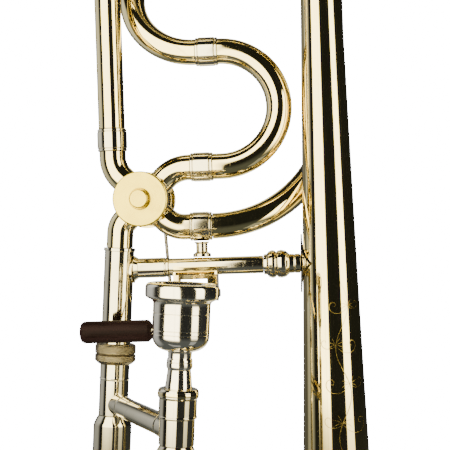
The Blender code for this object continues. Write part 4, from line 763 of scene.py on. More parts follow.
def make_main_tuning_slide():
    """Two nickel legs, a bow that widens towards the bell, and its brace."""
    slide = axis_empty("main_tuning_slide_axis", at=(GOOSENECK_X, 0, MAIN_SLEEVE_TOP))
    spread = BELL_X - GOOSENECK_X
    narrow = slide_leg(MAIN_LEG_R, MAIN_LEG_INSERT, MAIN_BOW_RISE), Matrix()
    wide = slide_leg(BELL_LEG_R, MAIN_LEG_INSERT, MAIN_BOW_RISE), Matrix.Translation((spread, 0, 0))
    legs = placed("main_slide_legs", narrow, "nickel", slide)
    add(legs, "main_slide_wide_leg", wide, slide)
    bend = spread / 2
    points = bow_route((0, 0, MAIN_BOW_RISE), UP, RIGHT, bend)
    count = len(points) - 1
    widening = BELL_LEG_R / MAIN_LEG_R
    radii = [1 + (widening - 1) * index / count for index in range(count + 1)]
    brass_tube("main_slide_bow", points, MAIN_LEG_R + MAIN_BOW_SWELL, slide, radii)
    reach = MAIN_LEG_R + SLEEVE_WALL * 0.5
    far = spread - BELL_LEG_R - SLEEVE_WALL * 0.5
    height = MAIN_BOW_RISE - MAIN_BRACE_R - MAIN_BRACE_LOW
    add(legs, "main_slide_brace", stay((reach, 0, height), (far, 0, height), MAIN_BRACE_R), slide)


def stay(start, end, radius, flare=EDGE, knop=0.0):
    """A straight turned brace between two places, flared at both ends, with an optional knop."""
    start = Vector(start)
    end = Vector(end)
    length = (end - start).length
    foot = min(STAY_FOOT, length * 0.22)
    stations = [(0, radius + flare), (foot * 0.4, radius + flare), (foot, radius)]
    if knop:
        half = length / 2
        wide = KNOP_HALF + KNOP_SLOPE
        stations += [(half - wide, radius), (half - KNOP_HALF, radius + knop),
                     (half + KNOP_HALF, radius + knop), (half + wide, radius)]
    stations += [(length - foot, radius), (length - foot * 0.4, radius + flare), (length, radius + flare)]
    return turned_mesh(rod_outline(stations), SIDES, True), along(start, end - start)


def make_upper_brace():
    """Brace with a knop between the gooseneck tube and the bell."""
    left = GOOSENECK_X + MAIN_R + GAP
    right = BELL_X - bell_radius(UPPER_BRACE_Z - UPPER_BRACE_R) - GAP
    brace = stay((left, 0, UPPER_BRACE_Z), (right, 0, UPPER_BRACE_Z), UPPER_BRACE_R, UPPER_BRACE_FLARE, KNOP)
    placed("upper_bell_brace", brace, "nickel")


# Rotary valve

def make_valve():
    valve = axis_empty("valve_axis", at=(ROTOR_X, 0, ROTOR_Z), turn=(90, 0, 0))
    make_casing(valve)
    make_cap(valve)
    make_rotor(valve)
    plate_top = CASING_BACK - GAP
    plate_low = plate_top - BEARING_THICK
    ledge = plate_low + BEARING_STEP
    plate = [(SPINDLE_R + GAP, plate_low), (BEARING_BOSS_R, plate_low),
             (BEARING_BOSS_R + BEARING_STEP, ledge), (CASING_R - 0.0010, ledge),
             (CASING_R - 0.0004, plate_top), (SPINDLE_R + GAP, plate_top)]
    make_stops(turned("valve_bearing_plate", plate, "brass", valve), valve, plate_low)


def make_casing(valve):
    """A bored drum with a back flange and four nipples for the tubes."""
    ledge = CASING_BACK + FLANGE_THICK
    body = rod_outline([(CASING_BACK, FLANGE_R), (ledge, FLANGE_R), (ledge, CASING_R),
                        (CASING_FRONT, CASING_R)])
    casing = turned("valve_casing", body, "brass", valve, sides=CASING_SIDES, solid=True)
    tubes = {"f_upper": (diagonal(1, 1), F_R), "neck_upper": (diagonal(-1, 1), MAIN_R),
             "neck_lower": (diagonal(-1, -1), MAIN_R), "f_lower": (diagonal(1, -1), F_R)}
    for name, (aim, radius) in tubes.items():
        nipple = rod_mesh(radius, CASING_BORE_R - 0.0030, NIPPLE_END)
        add(casing, name + "_nipple", (nipple, along((0, 0, 0), (aim.x, aim.z, 0))), valve)
    drum = rod_mesh(CASING_BORE_R, CASING_BACK - OVERCUT, CASING_FRONT + OVERCUT, CASING_SIDES)
    cut(casing, "casing_bore", drum, valve)
    for name, (aim, radius) in tubes.items():
        port = rod_mesh(radius - WALL * 2, CASING_BORE_R * 0.8, NIPPLE_END + OVERCUT)
        port.transform(along((0, 0, 0), (aim.x, aim.z, 0)) @ Matrix.Rotation(pi / TUBE_SIDES, 4, "Z"))
        cut(casing, name + "_port", port, valve)


def make_cap(valve):
    """Screwed front cap with a raised centre boss, hollow behind."""
    low = CASING_FRONT + GAP
    hollow = CAP_FRONT - CAP_SKIN
    boss_top = CAP_FRONT + CAP_BOSS_HEIGHT
    stations = [(low, CAP_R)] + offsets(CAP_FRONT, CAP_R, (-0.8, 0), (-0.3, -0.2), (0, -0.8))
    for mark in CAP_LINES:
        stations += offsets(CAP_FRONT, mark, (0, 0.3), (-0.06, 0), (0, -0.3))
    stations += [(CAP_FRONT, CAP_BOSS_R + 0.0001), (CAP_FRONT + 0.0002, CAP_BOSS_R)]
    for step in range(0, 91, 15):
        angle = radians(step)
        stations.append((boss_top - CAP_BOSS_ROUND * (1 - sin(angle)),
                         CAP_BOSS_FACE_R - CAP_BOSS_ROUND * 0.4 + CAP_BOSS_ROUND * cos(angle)))
    outside = [(0, boss_top)] + [(radius, height) for height, radius in reversed(stations)]
    inside = [(CASING_BORE_R, low), (CASING_BORE_R, hollow), (0, hollow)]
    turned("valve_cap", outside + inside, "brass", valve, sides=CLOSE_SIDES, solid=True)


def make_rotor(valve):
    """The turning core: a drum cut by two air passages, on a spindle through the back."""
    tail = CASING_BACK - GAP - BEARING_THICK - STOP_ARM_BACK - GAP
    step_low = -ROTOR_HALF - ROTOR_STEP_HEIGHT
    step_r = SPINDLE_R + ROTOR_STEP
    stations = [(tail, SPINDLE_R), (step_low, SPINDLE_R), (step_low, step_r),
                (-ROTOR_HALF, step_r), (-ROTOR_HALF, ROTOR_R), (ROTOR_HALF, ROTOR_R),
                (ROTOR_HALF, SPINDLE_R), (CASING_FRONT + ROTOR_NOSE, SPINDLE_R)]
    rotor = turned("rotor", rod_outline(stations), "brass", valve, sides=CASING_SIDES, solid=True)
    for side in (-1, 1):
        passage = rod_mesh(ROTOR_PASSAGE_R, -CUTTER_HALF, CUTTER_HALF)
        cut(rotor, f"passage_{side}", passage, valve, (side * ROTOR_PASSAGE_OFFSET, 0, 0), (90, 0, 0))


def make_stops(bearing, valve, plate_low):
    """Stop arm on the spindle, and the fixed stop block with its two bumpers on the bearing plate."""
    hub_top = plate_low - BEARING_STEP
    hub_low = plate_low - STOP_ARM_BACK
    hub = [(SPINDLE_R + GAP, hub_low), (BEARING_BOSS_R, hub_low), (BEARING_BOSS_R, hub_top),
           (SPINDLE_R + GAP, hub_top)]
    arm = turned("stop_arm", hub, "steel", valve)
    turn = radians(ARM_START)
    outward = Vector((cos(turn), sin(turn), 0))
    side = Vector((-sin(turn), cos(turn), 0)) * STOP_ARM_HALF
    far = outward * STOP_ARM_R
    near = outward * (BEARING_BOSS_R - 0.0010)
    corners = [near - side, far - side, far + side, near + side]
    low = hub_low + STOP_ARM_RISE
    bar = prism_mesh([(corner.x, corner.y) for corner in corners], low, low + STOP_ARM_THICK)
    join(arm, "stop_arm_bar", bar, valve)
    boss = rod_mesh(STOP_PIN_R, hub_low - STOP_PIN, hub_low + STOP_ARM_THICK)
    join(arm, "stop_arm_boss", boss, valve, (far.x, far.y, 0))
    corners = box_corners(STOP_BLOCK_LEFT, -STOP_BLOCK_HALF, STOP_BLOCK_RIGHT, STOP_BLOCK_HALF)
    block = prism_mesh(corners, plate_low - STOP_BLOCK_HIGH, plate_low + STOP_BLOCK_SUNK)
    join(bearing, "stop_block", block, valve)
    for index, height in enumerate((-STOP_BUMPER_APART, STOP_BUMPER_APART)):
        end = plate_low - STOP_BLOCK_HIGH - STOP_BUMPER_HIGH
        bumper = rod_mesh(STOP_BUMPER_R, end, plate_low - STOP_BLOCK_HIGH / 2)
        join(bearing, f"bumper_{index}", bumper, valve, (STOP_BUMPER_X, height, 0))


# F loop

def ringed_outline(outer, inner, low, high):
    """A ferrule's outline: a narrow ring at each end, set off by a line from the body."""
    ring = outer - FERRULE_RING
    half = [(inner, low)] + offsets(ring, low, (-0.2, 0), (0, 0.25), (0, 1.25), (-0.35, 1.4), (-0.35, 1.58))
    half += offsets(outer, low, (-0.1, 1.72), (0, 2.2))
    return half + [(radius, low + high - height) for radius, height in reversed(half)]


def ferrule(start, end, radius):
    """A joint ferrule with a ring at each end, between two tube ends."""
    length = (end - start).length - 2 * GAP
    outline = ringed_outline(radius + FERRULE_WALL + FERRULE_SWELL, radius - WALL, 0, length)
    aim = (end - start).normalized()
    return turned_mesh(outline), along(start + aim * GAP, aim)


def upper_branch():
    """Valve to the left leg: elbow, ferrule, U bend, ferrule, swept bend."""
    elbow = route(port_start(1, 1), diagonal(1, 1),
                  [("run", LEAD), ("turn", F_PORT_BEND, RIGHT), ("run", LEAD)])
    after = elbow[-1] + RIGHT * F_FERRULE_LENGTH
    lean = Vector((0, sin(radians(F_U_TILT)), cos(radians(F_U_TILT))))
    u_bend = route(after, RIGHT, [("run", F_U_RUN), ("turn", F_U_BEND, lean), ("turn", F_U_BEND, LEFT),
                                  ("run", F_TOP_RUN)])
    top = u_bend[-1] + LEFT * F_FERRULE_LENGTH
    swing = Vector((0, sin(radians(F_S_LEAN)), cos(radians(F_S_LEAN))))
    bend = route(top, LEFT, [("run", F_TOP_RUN), ("turn", F_S_BEND, swing), ("turn", F_S_EASE, UP)])
    bend.append(Vector((bend[-1].x, bend[-1].y, F_SLEEVE_Z - GAP)))
    return elbow, u_bend, bend


def lower_branch():
    """Valve to the right leg: elbow, ferrule, long bend behind the bell."""
    heading = Vector((cos(radians(F_LOWER_BACK)), sin(radians(F_LOWER_BACK)), 0))
    elbow = route(port_start(1, -1), diagonal(1, -1),
                  [("run", LEAD), ("turn", F_LOWER_PORT_BEND, heading), ("run", F_LOWER_RUN)])
    after = elbow[-1] + heading * F_FERRULE_LENGTH
    swing = radians(F_LOWER_SWING)
    climb = radians(F_LOWER_CLIMB)
    middle = Vector((cos(swing) * cos(climb), sin(swing) * cos(climb), sin(climb)))
    bend = route(after, heading, [("run", LEAD), ("turn", F_LOWER_FIRST_BEND, middle),
                                  ("run", F_LOWER_MIDDLE_RUN), ("turn", F_LOWER_BEND, UP)])
    bend.append(Vector((bend[-1].x, bend[-1].y, F_SLEEVE_Z - GAP)))
    return elbow, bend


def make_f_loop():
    """Both branches, the ferrules between their lengths, the tuning slide and its sleeves."""
    elbow, u_bend, bend = upper_branch()
    low_elbow, low_bend = lower_branch()
    for name, points in (("f_upper_elbow", elbow), ("f_u_bend", u_bend), ("f_left_branch", bend),
                         ("f_lower_elbow", low_elbow), ("f_right_branch", low_bend)):
        brass_tube(name, points, F_R)
    for name, before, after in (("f_upper_ferrule", elbow, u_bend), ("f_top_ferrule", u_bend, bend),
                                ("f_lower_ferrule", low_elbow, low_bend)):
        placed(name, ferrule(before[-1], after[0], F_R), "nickel")
    make_f_tuning_slide(bend[-1], low_bend[-1])
    make_f_sleeves(bend[-1], low_bend[-1])
    return low_elbow[-1], low_bend[0]


def make_f_tuning_slide(left, right):
    slide = axis_empty("f_tuning_slide_axis", at=(left.x, left.y, F_SLEEVE_TOP))
    across = Vector((right.x - left.x, right.y - left.y, 0))
    leg_mesh = slide_leg(F_LEG_R, F_LEG_INSERT, F_BOW_RISE)
    legs = placed("f_slide_legs", (leg_mesh, Matrix()), "nickel", slide)
    add(legs, "f_slide_right_leg", (leg_mesh.copy(), Matrix.Translation(across)), slide)
    bend = across.length / 2
    points = bow_route((0, 0, F_BOW_RISE), UP, across, bend)
    brass_tube("f_slide_bow", points, F_R, slide)
    aim = across.normalized()
    height = UP * (F_BOW_RISE - MAIN_BRACE_R - MAIN_BRACE_LOW)
    reach = aim * (F_LEG_R + SLEEVE_WALL * 0.5)
    brace = stay(reach + height, across - reach + height, MAIN_BRACE_R)
    add(legs, "f_slide_brace", brace, slide)


def make_f_sleeves(left, right):
    """Slide sleeves of the F legs, each on a short post from the gooseneck or the bell."""
    inner = F_LEG_R + GAP
    shape = tube_outline(inner + SLEEVE_WALL, inner, F_SLEEVE_Z, F_SLEEVE_TOP, SLEEVE_BEAD,
                         SLEEVE_BEAD_HEIGHT)
    neck = Vector((GOOSENECK_X, 0, STAY_Z))
    leg = Vector((left.x, left.y, STAY_Z))
    aim = (leg - neck).normalized()
    neck_inner = MAIN_LEG_R + GAP
    neck_shape = tube_outline(neck_inner + SLEEVE_WALL, neck_inner, GOOSE_SLEEVE_Z, MAIN_SLEEVE_TOP,
                              SLEEVE_BEAD, SLEEVE_BEAD_HEIGHT)
    pair = placed("left_slide_sleeves", (turned_mesh(neck_shape),
                                         Matrix.Translation((GOOSENECK_X, 0, 0))), "nickel")
    add(pair, "f_left_sleeve", (turned_mesh(shape), Matrix.Translation((left.x, left.y, 0))))
    add(pair, "left_stay", stay(neck + aim * (neck_inner + SLEEVE_WALL * 0.5),
                                leg - aim * (inner + SLEEVE_WALL * 0.5), STAY_R, STAY_FLARE))
    bell = Vector((BELL_X, 0, STAY_Z))
    leg = Vector((right.x, right.y, STAY_Z))
    aim = (leg - bell).normalized()
    right_sleeve = placed("f_right_sleeve", (turned_mesh(shape),
                                             Matrix.Translation((right.x, right.y, 0))), "nickel")
    foot = bell + aim * (bell_radius(STAY_Z - STAY_R - STAY_FLARE) + GAP)
    add(right_sleeve, "right_stay", stay(foot, leg - aim * (inner + SLEEVE_WALL * 0.5), STAY_R, STAY_FLARE))


# Bell brace

def make_bell_brace(ferrule_start, ferrule_end):
    """Ring-jointed brace with its foot on the neckpipe, a turned collar, and the F loop's post."""
    left = NECK_R + GAP
    right = BELL_X - bell_radius(BRACE_Z) - GAP * 2 - SADDLE_THICK
    collar_end = BRACE_COLLAR_X + BRACE_COLLAR_LENGTH
    at = (0, 0, BRACE_Z)
    turn = (0, 90, 0)
    bar = [(left + SADDLE_THICK * 0.5, BRACE_LEFT_R + 0.0016), (left + 0.0030, BRACE_LEFT_R)]
    bar += offsets(BRACE_JOINT_X, BRACE_LEFT_R, (-0.6, 0), (0, -0.5), (0.6, 0), (1.6, 0))
    bar += [(BRACE_JOINT_X + 0.0020, BRACE_R), (BRACE_COLLAR_X - GAP, BRACE_R)]
    brace = turned("bell_brace", rod_outline(bar), "nickel", at=at, turn=turn, solid=True)
    add_neck_saddle(brace)
    collar = offsets(BRACE_COLLAR_X, BRACE_COLLAR_R, (0, -2.4), (1.8, -2.2), (2.8, -0.8), (5.0, 0),
                     (6.6, -0.4), (7.4, -1.4), (8.2, -0.4), (10.4, 0), (12.8, -0.6))
    collar += [(collar_end, BRACE_COLLAR_R - 0.0022), (collar_end, BRACE_SLEEVE_R)]
    collar += offsets((collar_end + right) / 2, BRACE_SLEEVE_R, (-0.5, 0), (0, -0.4), (0.5, 0))
    collar.append((right + 0.0004, BRACE_SLEEVE_R))
    collar_piece = turned("bell_brace_collar", rod_outline(collar), "nickel", at=at, turn=turn, solid=True)
    reach = BELL_SEAT_HALF
    seat = [(0, -reach), (bell_radius(-reach) + GAP * 2 + SADDLE_THICK, -reach),
            (bell_radius(reach) + GAP * 2 + SADDLE_THICK, reach), (0, reach)]
    seat_mesh = turned_mesh(seat, BELL_SIDES, True)
    cut(collar_piece, "bell_saddle_seat", seat_mesh, at=(BELL_X, 0, 0))
    make_bell_saddle()
    height = (ferrule_start.z + ferrule_end.z) / 2
    low = BRACE_R + GAP
    place = Vector((POST_X, 0, BRACE_Z))
    share = (POST_X - ferrule_start.x) / (ferrule_end.x - ferrule_start.x)
    aim = ferrule_start.lerp(ferrule_end, share) - place
    high = aim.length - F_R - FERRULE_WALL - GAP * 2
    post = offsets(low, POST_FOOT_R, (0, 0), (1.8, 0)) + [(low + 0.0030, POST_R)]
    post += offsets(high, POST_R, (-1.2, 0), (-0.6, 1.0), (0, 1.0))
    placed("f_ferrule_post", (turned_mesh(rod_outline(post), SIDES, True), along(place, aim)), "nickel")


def make_bell_saddle():
    """Diamond-shaped foot, rolled to the bell's cone."""
    low = BRACE_Z - BELL_SADDLE_HALF - SADDLE_SPARE
    high = BRACE_Z + BELL_SADDLE_HALF + SADDLE_SPARE
    shell = [(bell_radius(high) + GAP, high), (bell_radius(low) + GAP, low),
             (bell_radius(low) + GAP + SADDLE_THICK, low), (bell_radius(high) + GAP + SADDLE_THICK, high)]
    saddle = turned("bell_saddle", shell, "nickel", at=(BELL_X, 0, 0), sides=BELL_SIDES)
    half = BELL_SADDLE_HALF
    wide = BELL_SADDLE_WIDE
    corners = [(0, half), (-wide * 0.35, half * 0.45), (-wide, 0), (-wide * 0.35, -half * 0.45),
               (0, -half), (wide * 0.35, -half * 0.45), (wide, 0), (wide * 0.35, half * 0.45)]
    shape = prism_mesh(corners, -0.040, -0.002)
    combine(saddle, put("bell_saddle_outline", shape, at=(BELL_X, 0, BRACE_Z), turn=(90, 0, 90)), "INTERSECT")


def add_neck_saddle(brace):
    """Oval foot of the brace, rolled to the neckpipe."""
    neck = axis_empty("neck_saddle_axis", turn=(0, NECK_TILT, 0))
    reach = NECK_SADDLE_HALF
    inner = NECK_R + GAP
    outline = tube_outline(inner + SADDLE_THICK, inner, -reach - SADDLE_SPARE, reach + 0.0012)
    shell = put("neck_saddle", turned_mesh(outline), neck)
    around = [2 * pi * index / SIDES for index in range(SIDES)]
    corners = [(reach * 0.8 * sin(angle), reach * cos(angle)) for angle in around]
    shape = prism_mesh(corners, 0.002, 0.020)
    combine(shell, put("neck_saddle_outline", shape, neck, turn=(90, 0, 90)), "INTERSECT")
    combine(brace, shell, "UNION")
    core = rod_mesh(inner, -CUTTER_HALF, CUTTER_HALF)
    cut(brace, "neck_saddle_core", core, neck)


# Neckpipe and the fixed half of the hand slide

def neck_place(height):
    """A point on the neck's leaning axis."""
    angle = radians(NECK_TILT)
    return Vector((sin(angle) * height, 0, cos(angle) * height))


def make_neck(neck):
    lean = tan(radians(NECK_TILT))
    port = port_start(-1, -1)
    away = diagonal(-1, -1)
    corner = port + away * ((port.x - lean * port.z) / (lean * away.z - away.x))
    end = neck_place(NECK_TOP + GAP)
    bend = (corner - port).angle(end - corner)
    radius = ((corner - port).length - LEAD) / tan(bend / 2)
    brass_tube("neck_elbow", cornered(port, corner, end, radius), MAIN_R)
    bead = NECK_BEAD_R - NECK_R
    outline = tube_outline(NECK_R, MAIN_R - WALL, NECK_BOTTOM, NECK_TOP, bead, NECK_BEAD_HEIGHT)
    turned("neckpipe", outline, "nickel", neck)


def make_nut(neck):
    """Double knurled coupling nut that draws the two sections together."""
    low = NUT_TOP - NUT_LENGTH
    inner = TENON_R + GAP
    outline = [(inner, low)] + offsets(NUT_R, low, (-2.2, 0), (0, 2.0))
    outline += offsets(NUT_R, low + NUT_LENGTH / 2, (0, -0.6), (-1.0, 0), (0, 0.6))
    outline += offsets(NUT_R, NUT_TOP, (0, -1.0), (-0.9, 0)) + [(inner, NUT_TOP)]
    turned("neck_nut", outline, "nickel", neck, sides=CLOSE_SIDES)


def make_fixed_slide(holder):
    """Tenon, receiver, cork barrels, inner tubes, leadpipe and the hand brace between the barrels."""
    bore = INNER_R + GAP
    tip_z = RECEIVER_TOP - MOUTH_INSERT - RECEIVER_SPARE
    middle = (NUT_TOP - NUT_LENGTH + SHOULDER_Z) / 2 + TENON_RING_RISE
    tenon = [(bore, SHOULDER_Z + GAP), (TENON_R, SHOULDER_Z + GAP)]
    tenon += offsets(TENON_R, middle, (0, -0.6), (0.4, 0), (0, 0.6))
    tenon += [(TENON_R, NECK_BOTTOM - GAP), (bore, NECK_BOTTOM - GAP)]
    turned("slide_tenon", tenon, "nickel", holder)
    make_receiver(holder, bore, tip_z)
    hollow = BARREL_R - BARREL_WALL
    full = SHOULDER_Z - SHOULDER_HEIGHT
    band = BARREL_R + BARREL_BAND
    band_top = BARREL_BOTTOM + BARREL_BAND_HEIGHT
    barrel = [(hollow, BARREL_BOTTOM), (band, BARREL_BOTTOM), (band, band_top), (BARREL_R, band_top),
              (BARREL_R, full), (BARREL_R - 0.0008, full + 0.0022), (TENON_R, SHOULDER_Z),
              (bore, SHOULDER_Z), (bore, full - 0.0010), (hollow, full - 0.0030)]
    inner_tops = {"left": NECK_BOTTOM - GAP * 2 - 0.0020, "right": tip_z - GAP}
    for side, across in SLIDE_TUBES:
        turned("cork_barrel_" + side, barrel, "nickel", holder, at=(across, 0, 0))
        tube = tube_outline(INNER_R, INNER_R - WALL, INNER_BOTTOM, inner_tops[side])
        turned("inner_slide_tube_" + side, tube, "nickel", holder, at=(across, 0, 0))
    pipe_r = INNER_R - WALL - GAP
    pipe_top = tip_z - GAP
    pipe = offsets(pipe_r, pipe_top - LEADPIPE_LENGTH, (-0.4, 0), (0, 0))
    pipe += offsets(pipe_r, pipe_top, (0, 0), (-0.4, 0), (-1.2, -30))
    turned("leadpipe", pipe, "brass", holder, at=(SLIDE_SPACING, 0, 0))
    hand_brace(holder, "inner_slide_brace", INNER_BRACE_Z, INNER_BRACE_R, TENON_R + GAP, RECEIVER_LOW_R + GAP)
    return hollow


def make_receiver(holder, bore, tip_z):
    """Mouthpiece receiver with a step half way down, and the rounded bead at its mouth."""
    bead_low = RECEIVER_TOP - RECEIVER_BEAD
    receiver = [(bore, SHOULDER_Z + GAP), (RECEIVER_LOW_R, SHOULDER_Z + GAP),
                (RECEIVER_LOW_R, RECEIVER_STEP_Z - 0.0010)]
    receiver += offsets(RECEIVER_R, RECEIVER_STEP_Z, (0.3, -0.6), (0.3, 0.2), (0, 0.5))
    receiver += [(RECEIVER_R, bead_low), (RECEIVER_BEAD_R, bead_low + 0.0008)]
    receiver += offsets(RECEIVER_BEAD_R, RECEIVER_TOP, (0, -1.2), (-0.8, 0))
    receiver += [(MOUTH_SHANK_R + GAP, RECEIVER_TOP), (MOUTH_TIP_R + GAP, tip_z), (bore, tip_z)]
    turned("mouthpiece_receiver", receiver, "nickel", holder, at=(SLIDE_SPACING, 0, 0))
    bead_r = RECEIVER_BEAD_R + 0.00012
    bead = offsets(RECEIVER_R, bead_low, (-0.5, -0.1), (0.1, -0.1))
    for step in range(-60, 91, 15):
        angle = radians(step)
        bead += offsets(bead_r, bead_low, (1.4 * cos(angle) - 1.4, 2.4 * sin(angle) + 2.4))
    bead += [(bead_r - 0.0020, RECEIVER_TOP + 0.0001), (RECEIVER_R - 0.0012, RECEIVER_TOP - 0.0003)]
    extra("receiver_bead", turned_mesh(bead), "brass", "mouthpiece_receiver", holder,
          (SLIDE_SPACING, 0, 0))


def hand_brace(holder, name, height, radius, left_bore, right_bore):
    """A brace tube across the slide, cut at both ends to sit on its two tubes, with two turned rings."""
    bar = [(left_bore / 2, radius)]
    for place in (BRACE_RING_X, SLIDE_SPACING - BRACE_RING_X):
        bar += [(place - BRACE_RING_HALF, radius), (place, radius + BRACE_RING_HEIGHT),
                (place + BRACE_RING_HALF, radius)]
    bar.append((SLIDE_SPACING - right_bore / 2, radius))
    brace = turned(name, rod_outline(bar), "nickel", holder, at=(0, 0, height), turn=(0, 90, 0), solid=True)
    for side, across, bore in (("left", 0, left_bore), ("right", SLIDE_SPACING, right_bore)):
        clear = rod_mesh(bore, -radius * 2, radius * 2)
        cut(brace, f"{name}_{side}_clear", clear, holder, (across, 0, height))
    return brace


def add_saddle_sleeves(brace, holder, bore):
    """A sleeve round each outer tube at the brace's ends."""
    half = OUTER_SADDLE_HEIGHT / 2
    for side, across in SLIDE_TUBES:
        sleeve = turned_mesh(tube_outline(bore + SADDLE_THICK, bore, -half, half))
        join(brace, f"saddle_sleeve_{side}", sleeve, holder, (across, 0, OUTER_BRACE_Z))


# Moving half of the hand slide

def make_hand_slide(holder, hollow):
    """Outer tubes with their brace, the bow with its bumper and water key, and the lock ring."""
    slide = axis_empty("hand_slide_axis", holder)
    inner = INNER_R + GAP
    collar = hollow - GAP * 3
    low = OUTER_BOTTOM + BOW_FERRULE_RISE
    high = low + BOW_FERRULE_LENGTH
    band = OUTER_R + OUTER_FERRULE_WALL
    outline = [(inner, OUTER_BOTTOM), (OUTER_R, OUTER_BOTTOM), (OUTER_R, low), (band, low), (band, high),
               (OUTER_R, high), (OUTER_R, OUTER_TOP - OUTER_COLLAR)]
    outline += offsets(collar, OUTER_TOP, (0, -5.0), (0, -1.0), (-0.6, 0)) + [(inner, OUTER_TOP)]
    for side, across in SLIDE_TUBES:
        turned("outer_slide_tube_" + side, outline, "nickel", slide, at=(across, 0, 0))
    bore = OUTER_R + GAP
    brace = hand_brace(slide, "outer_slide_brace", OUTER_BRACE_Z, OUTER_BRACE_R, bore, bore)
    add_saddle_sleeves(brace, slide, bore)
    saddle_top = OUTER_BRACE_Z + OUTER_SADDLE_HEIGHT / 2
    lug_low = saddle_top - LUG_ROOT
    lug = [(bore, lug_low), (bore + LUG_STEP, lug_low), (bore + LUG_WALL, saddle_top),
           (bore + LUG_WALL, saddle_top + LOCK_LUG), (bore, saddle_top + LOCK_LUG)]
    join(brace, "lock_lug", turned_mesh(lug), slide, (SLIDE_SPACING, 0, 0))
    bend = SLIDE_SPACING / 2
    points = bow_route((0, 0, OUTER_BOTTOM - GAP), DOWN, RIGHT, bend)
    brass_tube("slide_bow", points, OUTER_R, slide)
    bow_low = OUTER_BOTTOM - GAP - LEAD - bend
    make_bumper(slide, bend, bow_low - OUTER_R)
    make_water_key(slide, bend, bow_low)
    make_lock(holder)


def make_bumper(slide, across, low):
    """Socket under the bow with a rubber tip, flat where it stands."""
    bottom = low - SOCKET_LENGTH
    socket = offsets(bottom, BUMPER_R, (0, -0.5), (0.8, 0))
    socket += offsets(low, BUMPER_R, (-1.2, 0), (-0.2, -1.6), (2.0, -2.8))
    piece = turned("bumper_socket", rod_outline(socket), "nickel", slide, at=(across, 0, 0), solid=True)
    bow = turned_mesh(torus_outline(SLIDE_SPACING / 2, OUTER_R + GAP), 96)
    centre = low + OUTER_R + SLIDE_SPACING / 2
    cut(piece, "socket_seat", bow, slide, (across, 0, centre), (90, 0, 0))
    tip = offsets(bottom - BUMPER_LENGTH, BUMPER_R, (0, -2.6), (1.6, -0.8))
    tip += [(bottom - 0.0030, BUMPER_R - 0.0004), (bottom - GAP, BUMPER_R - 0.0010)]
    turned("slide_bumper", rod_outline(tip), "rubber", slide, at=(across, 0, 0), solid=True)


def torus_outline(ring, tube):
    around = [2 * pi * index / 16 for index in range(16)]
    return [(ring + tube * cos(angle), tube * sin(angle)) for angle in around]


def make_water_key(slide, across, bow_low):
    """Drain nipple, its hinge post, and the sprung key with a cork pad."""
    front = -(OUTER_R + GAP)
    nipple = [(KEY_HOLE_R, 0), (0.0034, 0), (0.0030, 0.0016), (KEY_NIPPLE_R, KEY_NIPPLE),
              (KEY_HOLE_R, KEY_NIPPLE)]
    hole_x = across - KEY_OFFSET
    nipple_z = bow_low + across - sqrt(across ** 2 - KEY_OFFSET ** 2)
    post = rod_outline([(0, KEY_FOOT_R), (0.0012, KEY_FOOT_R), (0.0024, KEY_POST_R), (KEY_POST, KEY_POST_R)])
    shape = turned_mesh(post, SIDES, True), along((across, front, bow_low), -BACK)
    fittings = placed("water_key_fittings", shape, "nickel", slide)
    add(fittings, "water_key_nipple", (turned_mesh(nipple, FINE_SIDES),
                                       along((hole_x, front, nipple_z), -BACK)), slide)
    rise = nipple_z - bow_low
    strip_end = sqrt(KEY_OFFSET ** 2 + rise ** 2) - KEY_NIPPLE_R
    strip = prism_mesh(box_corners(KEY_STRIP_START, -KEY_STRIP_HALF, strip_end, KEY_STRIP_HALF),
                       0, KEY_STRIP_THICK)
    slope = atan2(rise, KEY_OFFSET)
    lean = Matrix.Rotation(pi + slope, 4, "Y") @ Matrix.Rotation(radians(90), 4, "X")
    add(fittings, "water_key_strip", (strip, Matrix.Translation((across, front, bow_low)) @ lean), slide)
    pivot_y = front - KEY_POST - KEY_BARREL_R - GAP
    key = axis_empty("water_key_axis", slide, (across, pivot_y, bow_low))
    barrel_outline = plain_rod(KEY_BARREL_R, -KEY_BARREL_HALF, KEY_BARREL_HALF)
    barrel = turned("water_key", barrel_outline, "brass", key, solid=True)
    pad_face = front - KEY_NIPPLE - GAP - pivot_y
    pad_back = pad_face - KEY_PAD
    head_face = pad_back - GAP
    centre = Vector((-KEY_OFFSET, head_face, nipple_z - bow_low))
    head = rod_mesh(KEY_HEAD_R, 0, KEY_HEAD)
    add(barrel, "key_head", (head, along(centre, -BACK)), key)
    inner_end = centre - BACK * KEY_HEAD * 0.6
    add(barrel, "key_arm", key_arm(inner_end, Vector()), key)
    add(barrel, "key_touch", key_arm(Vector(), Vector((KEY_TOUCH, *KEY_FINGER))), key)
    pad = rod_mesh(KEY_HEAD_R - KEY_PAD_INSET, 0, KEY_PAD)
    placed("water_key_pad", (pad, along((centre.x, pad_face, centre.z), -BACK)), "cork", key)


def key_arm(start, end):
    return rod_mesh(KEY_ARM_R, 0, (end - start).length, FINE_SIDES), along(start, end - start)


def make_lock(holder):
    """Ring round the foot of the right barrel, with a finger tab. It turns freely and catches nothing."""
    low = BARREL_BOTTOM + LOCK_RISE
    inner = BARREL_R + LOCK_CLEARANCE
    outer = inner + LOCK_WALL
    lock = axis_empty("slide_lock_axis", holder, (SLIDE_SPACING, 0, 0))
    band = tube_outline(outer, inner, low, low + LOCK_HEIGHT, LOCK_BEAD, LOCK_BEAD_HEIGHT, True)
    ring = turned("slide_lock_ring", band, "nickel", lock)
    corners = box_corners(-LOCK_TAB_HALF, outer - LOCK_WALL / 2, LOCK_TAB_HALF, outer + LOCK_TAB_OUT)
    tab = prism_mesh(corners, low + LOCK_HEIGHT / 4, low + LOCK_HEIGHT * 0.75)
    join(ring, "lock_tab", tab, lock)


# Mouthpiece

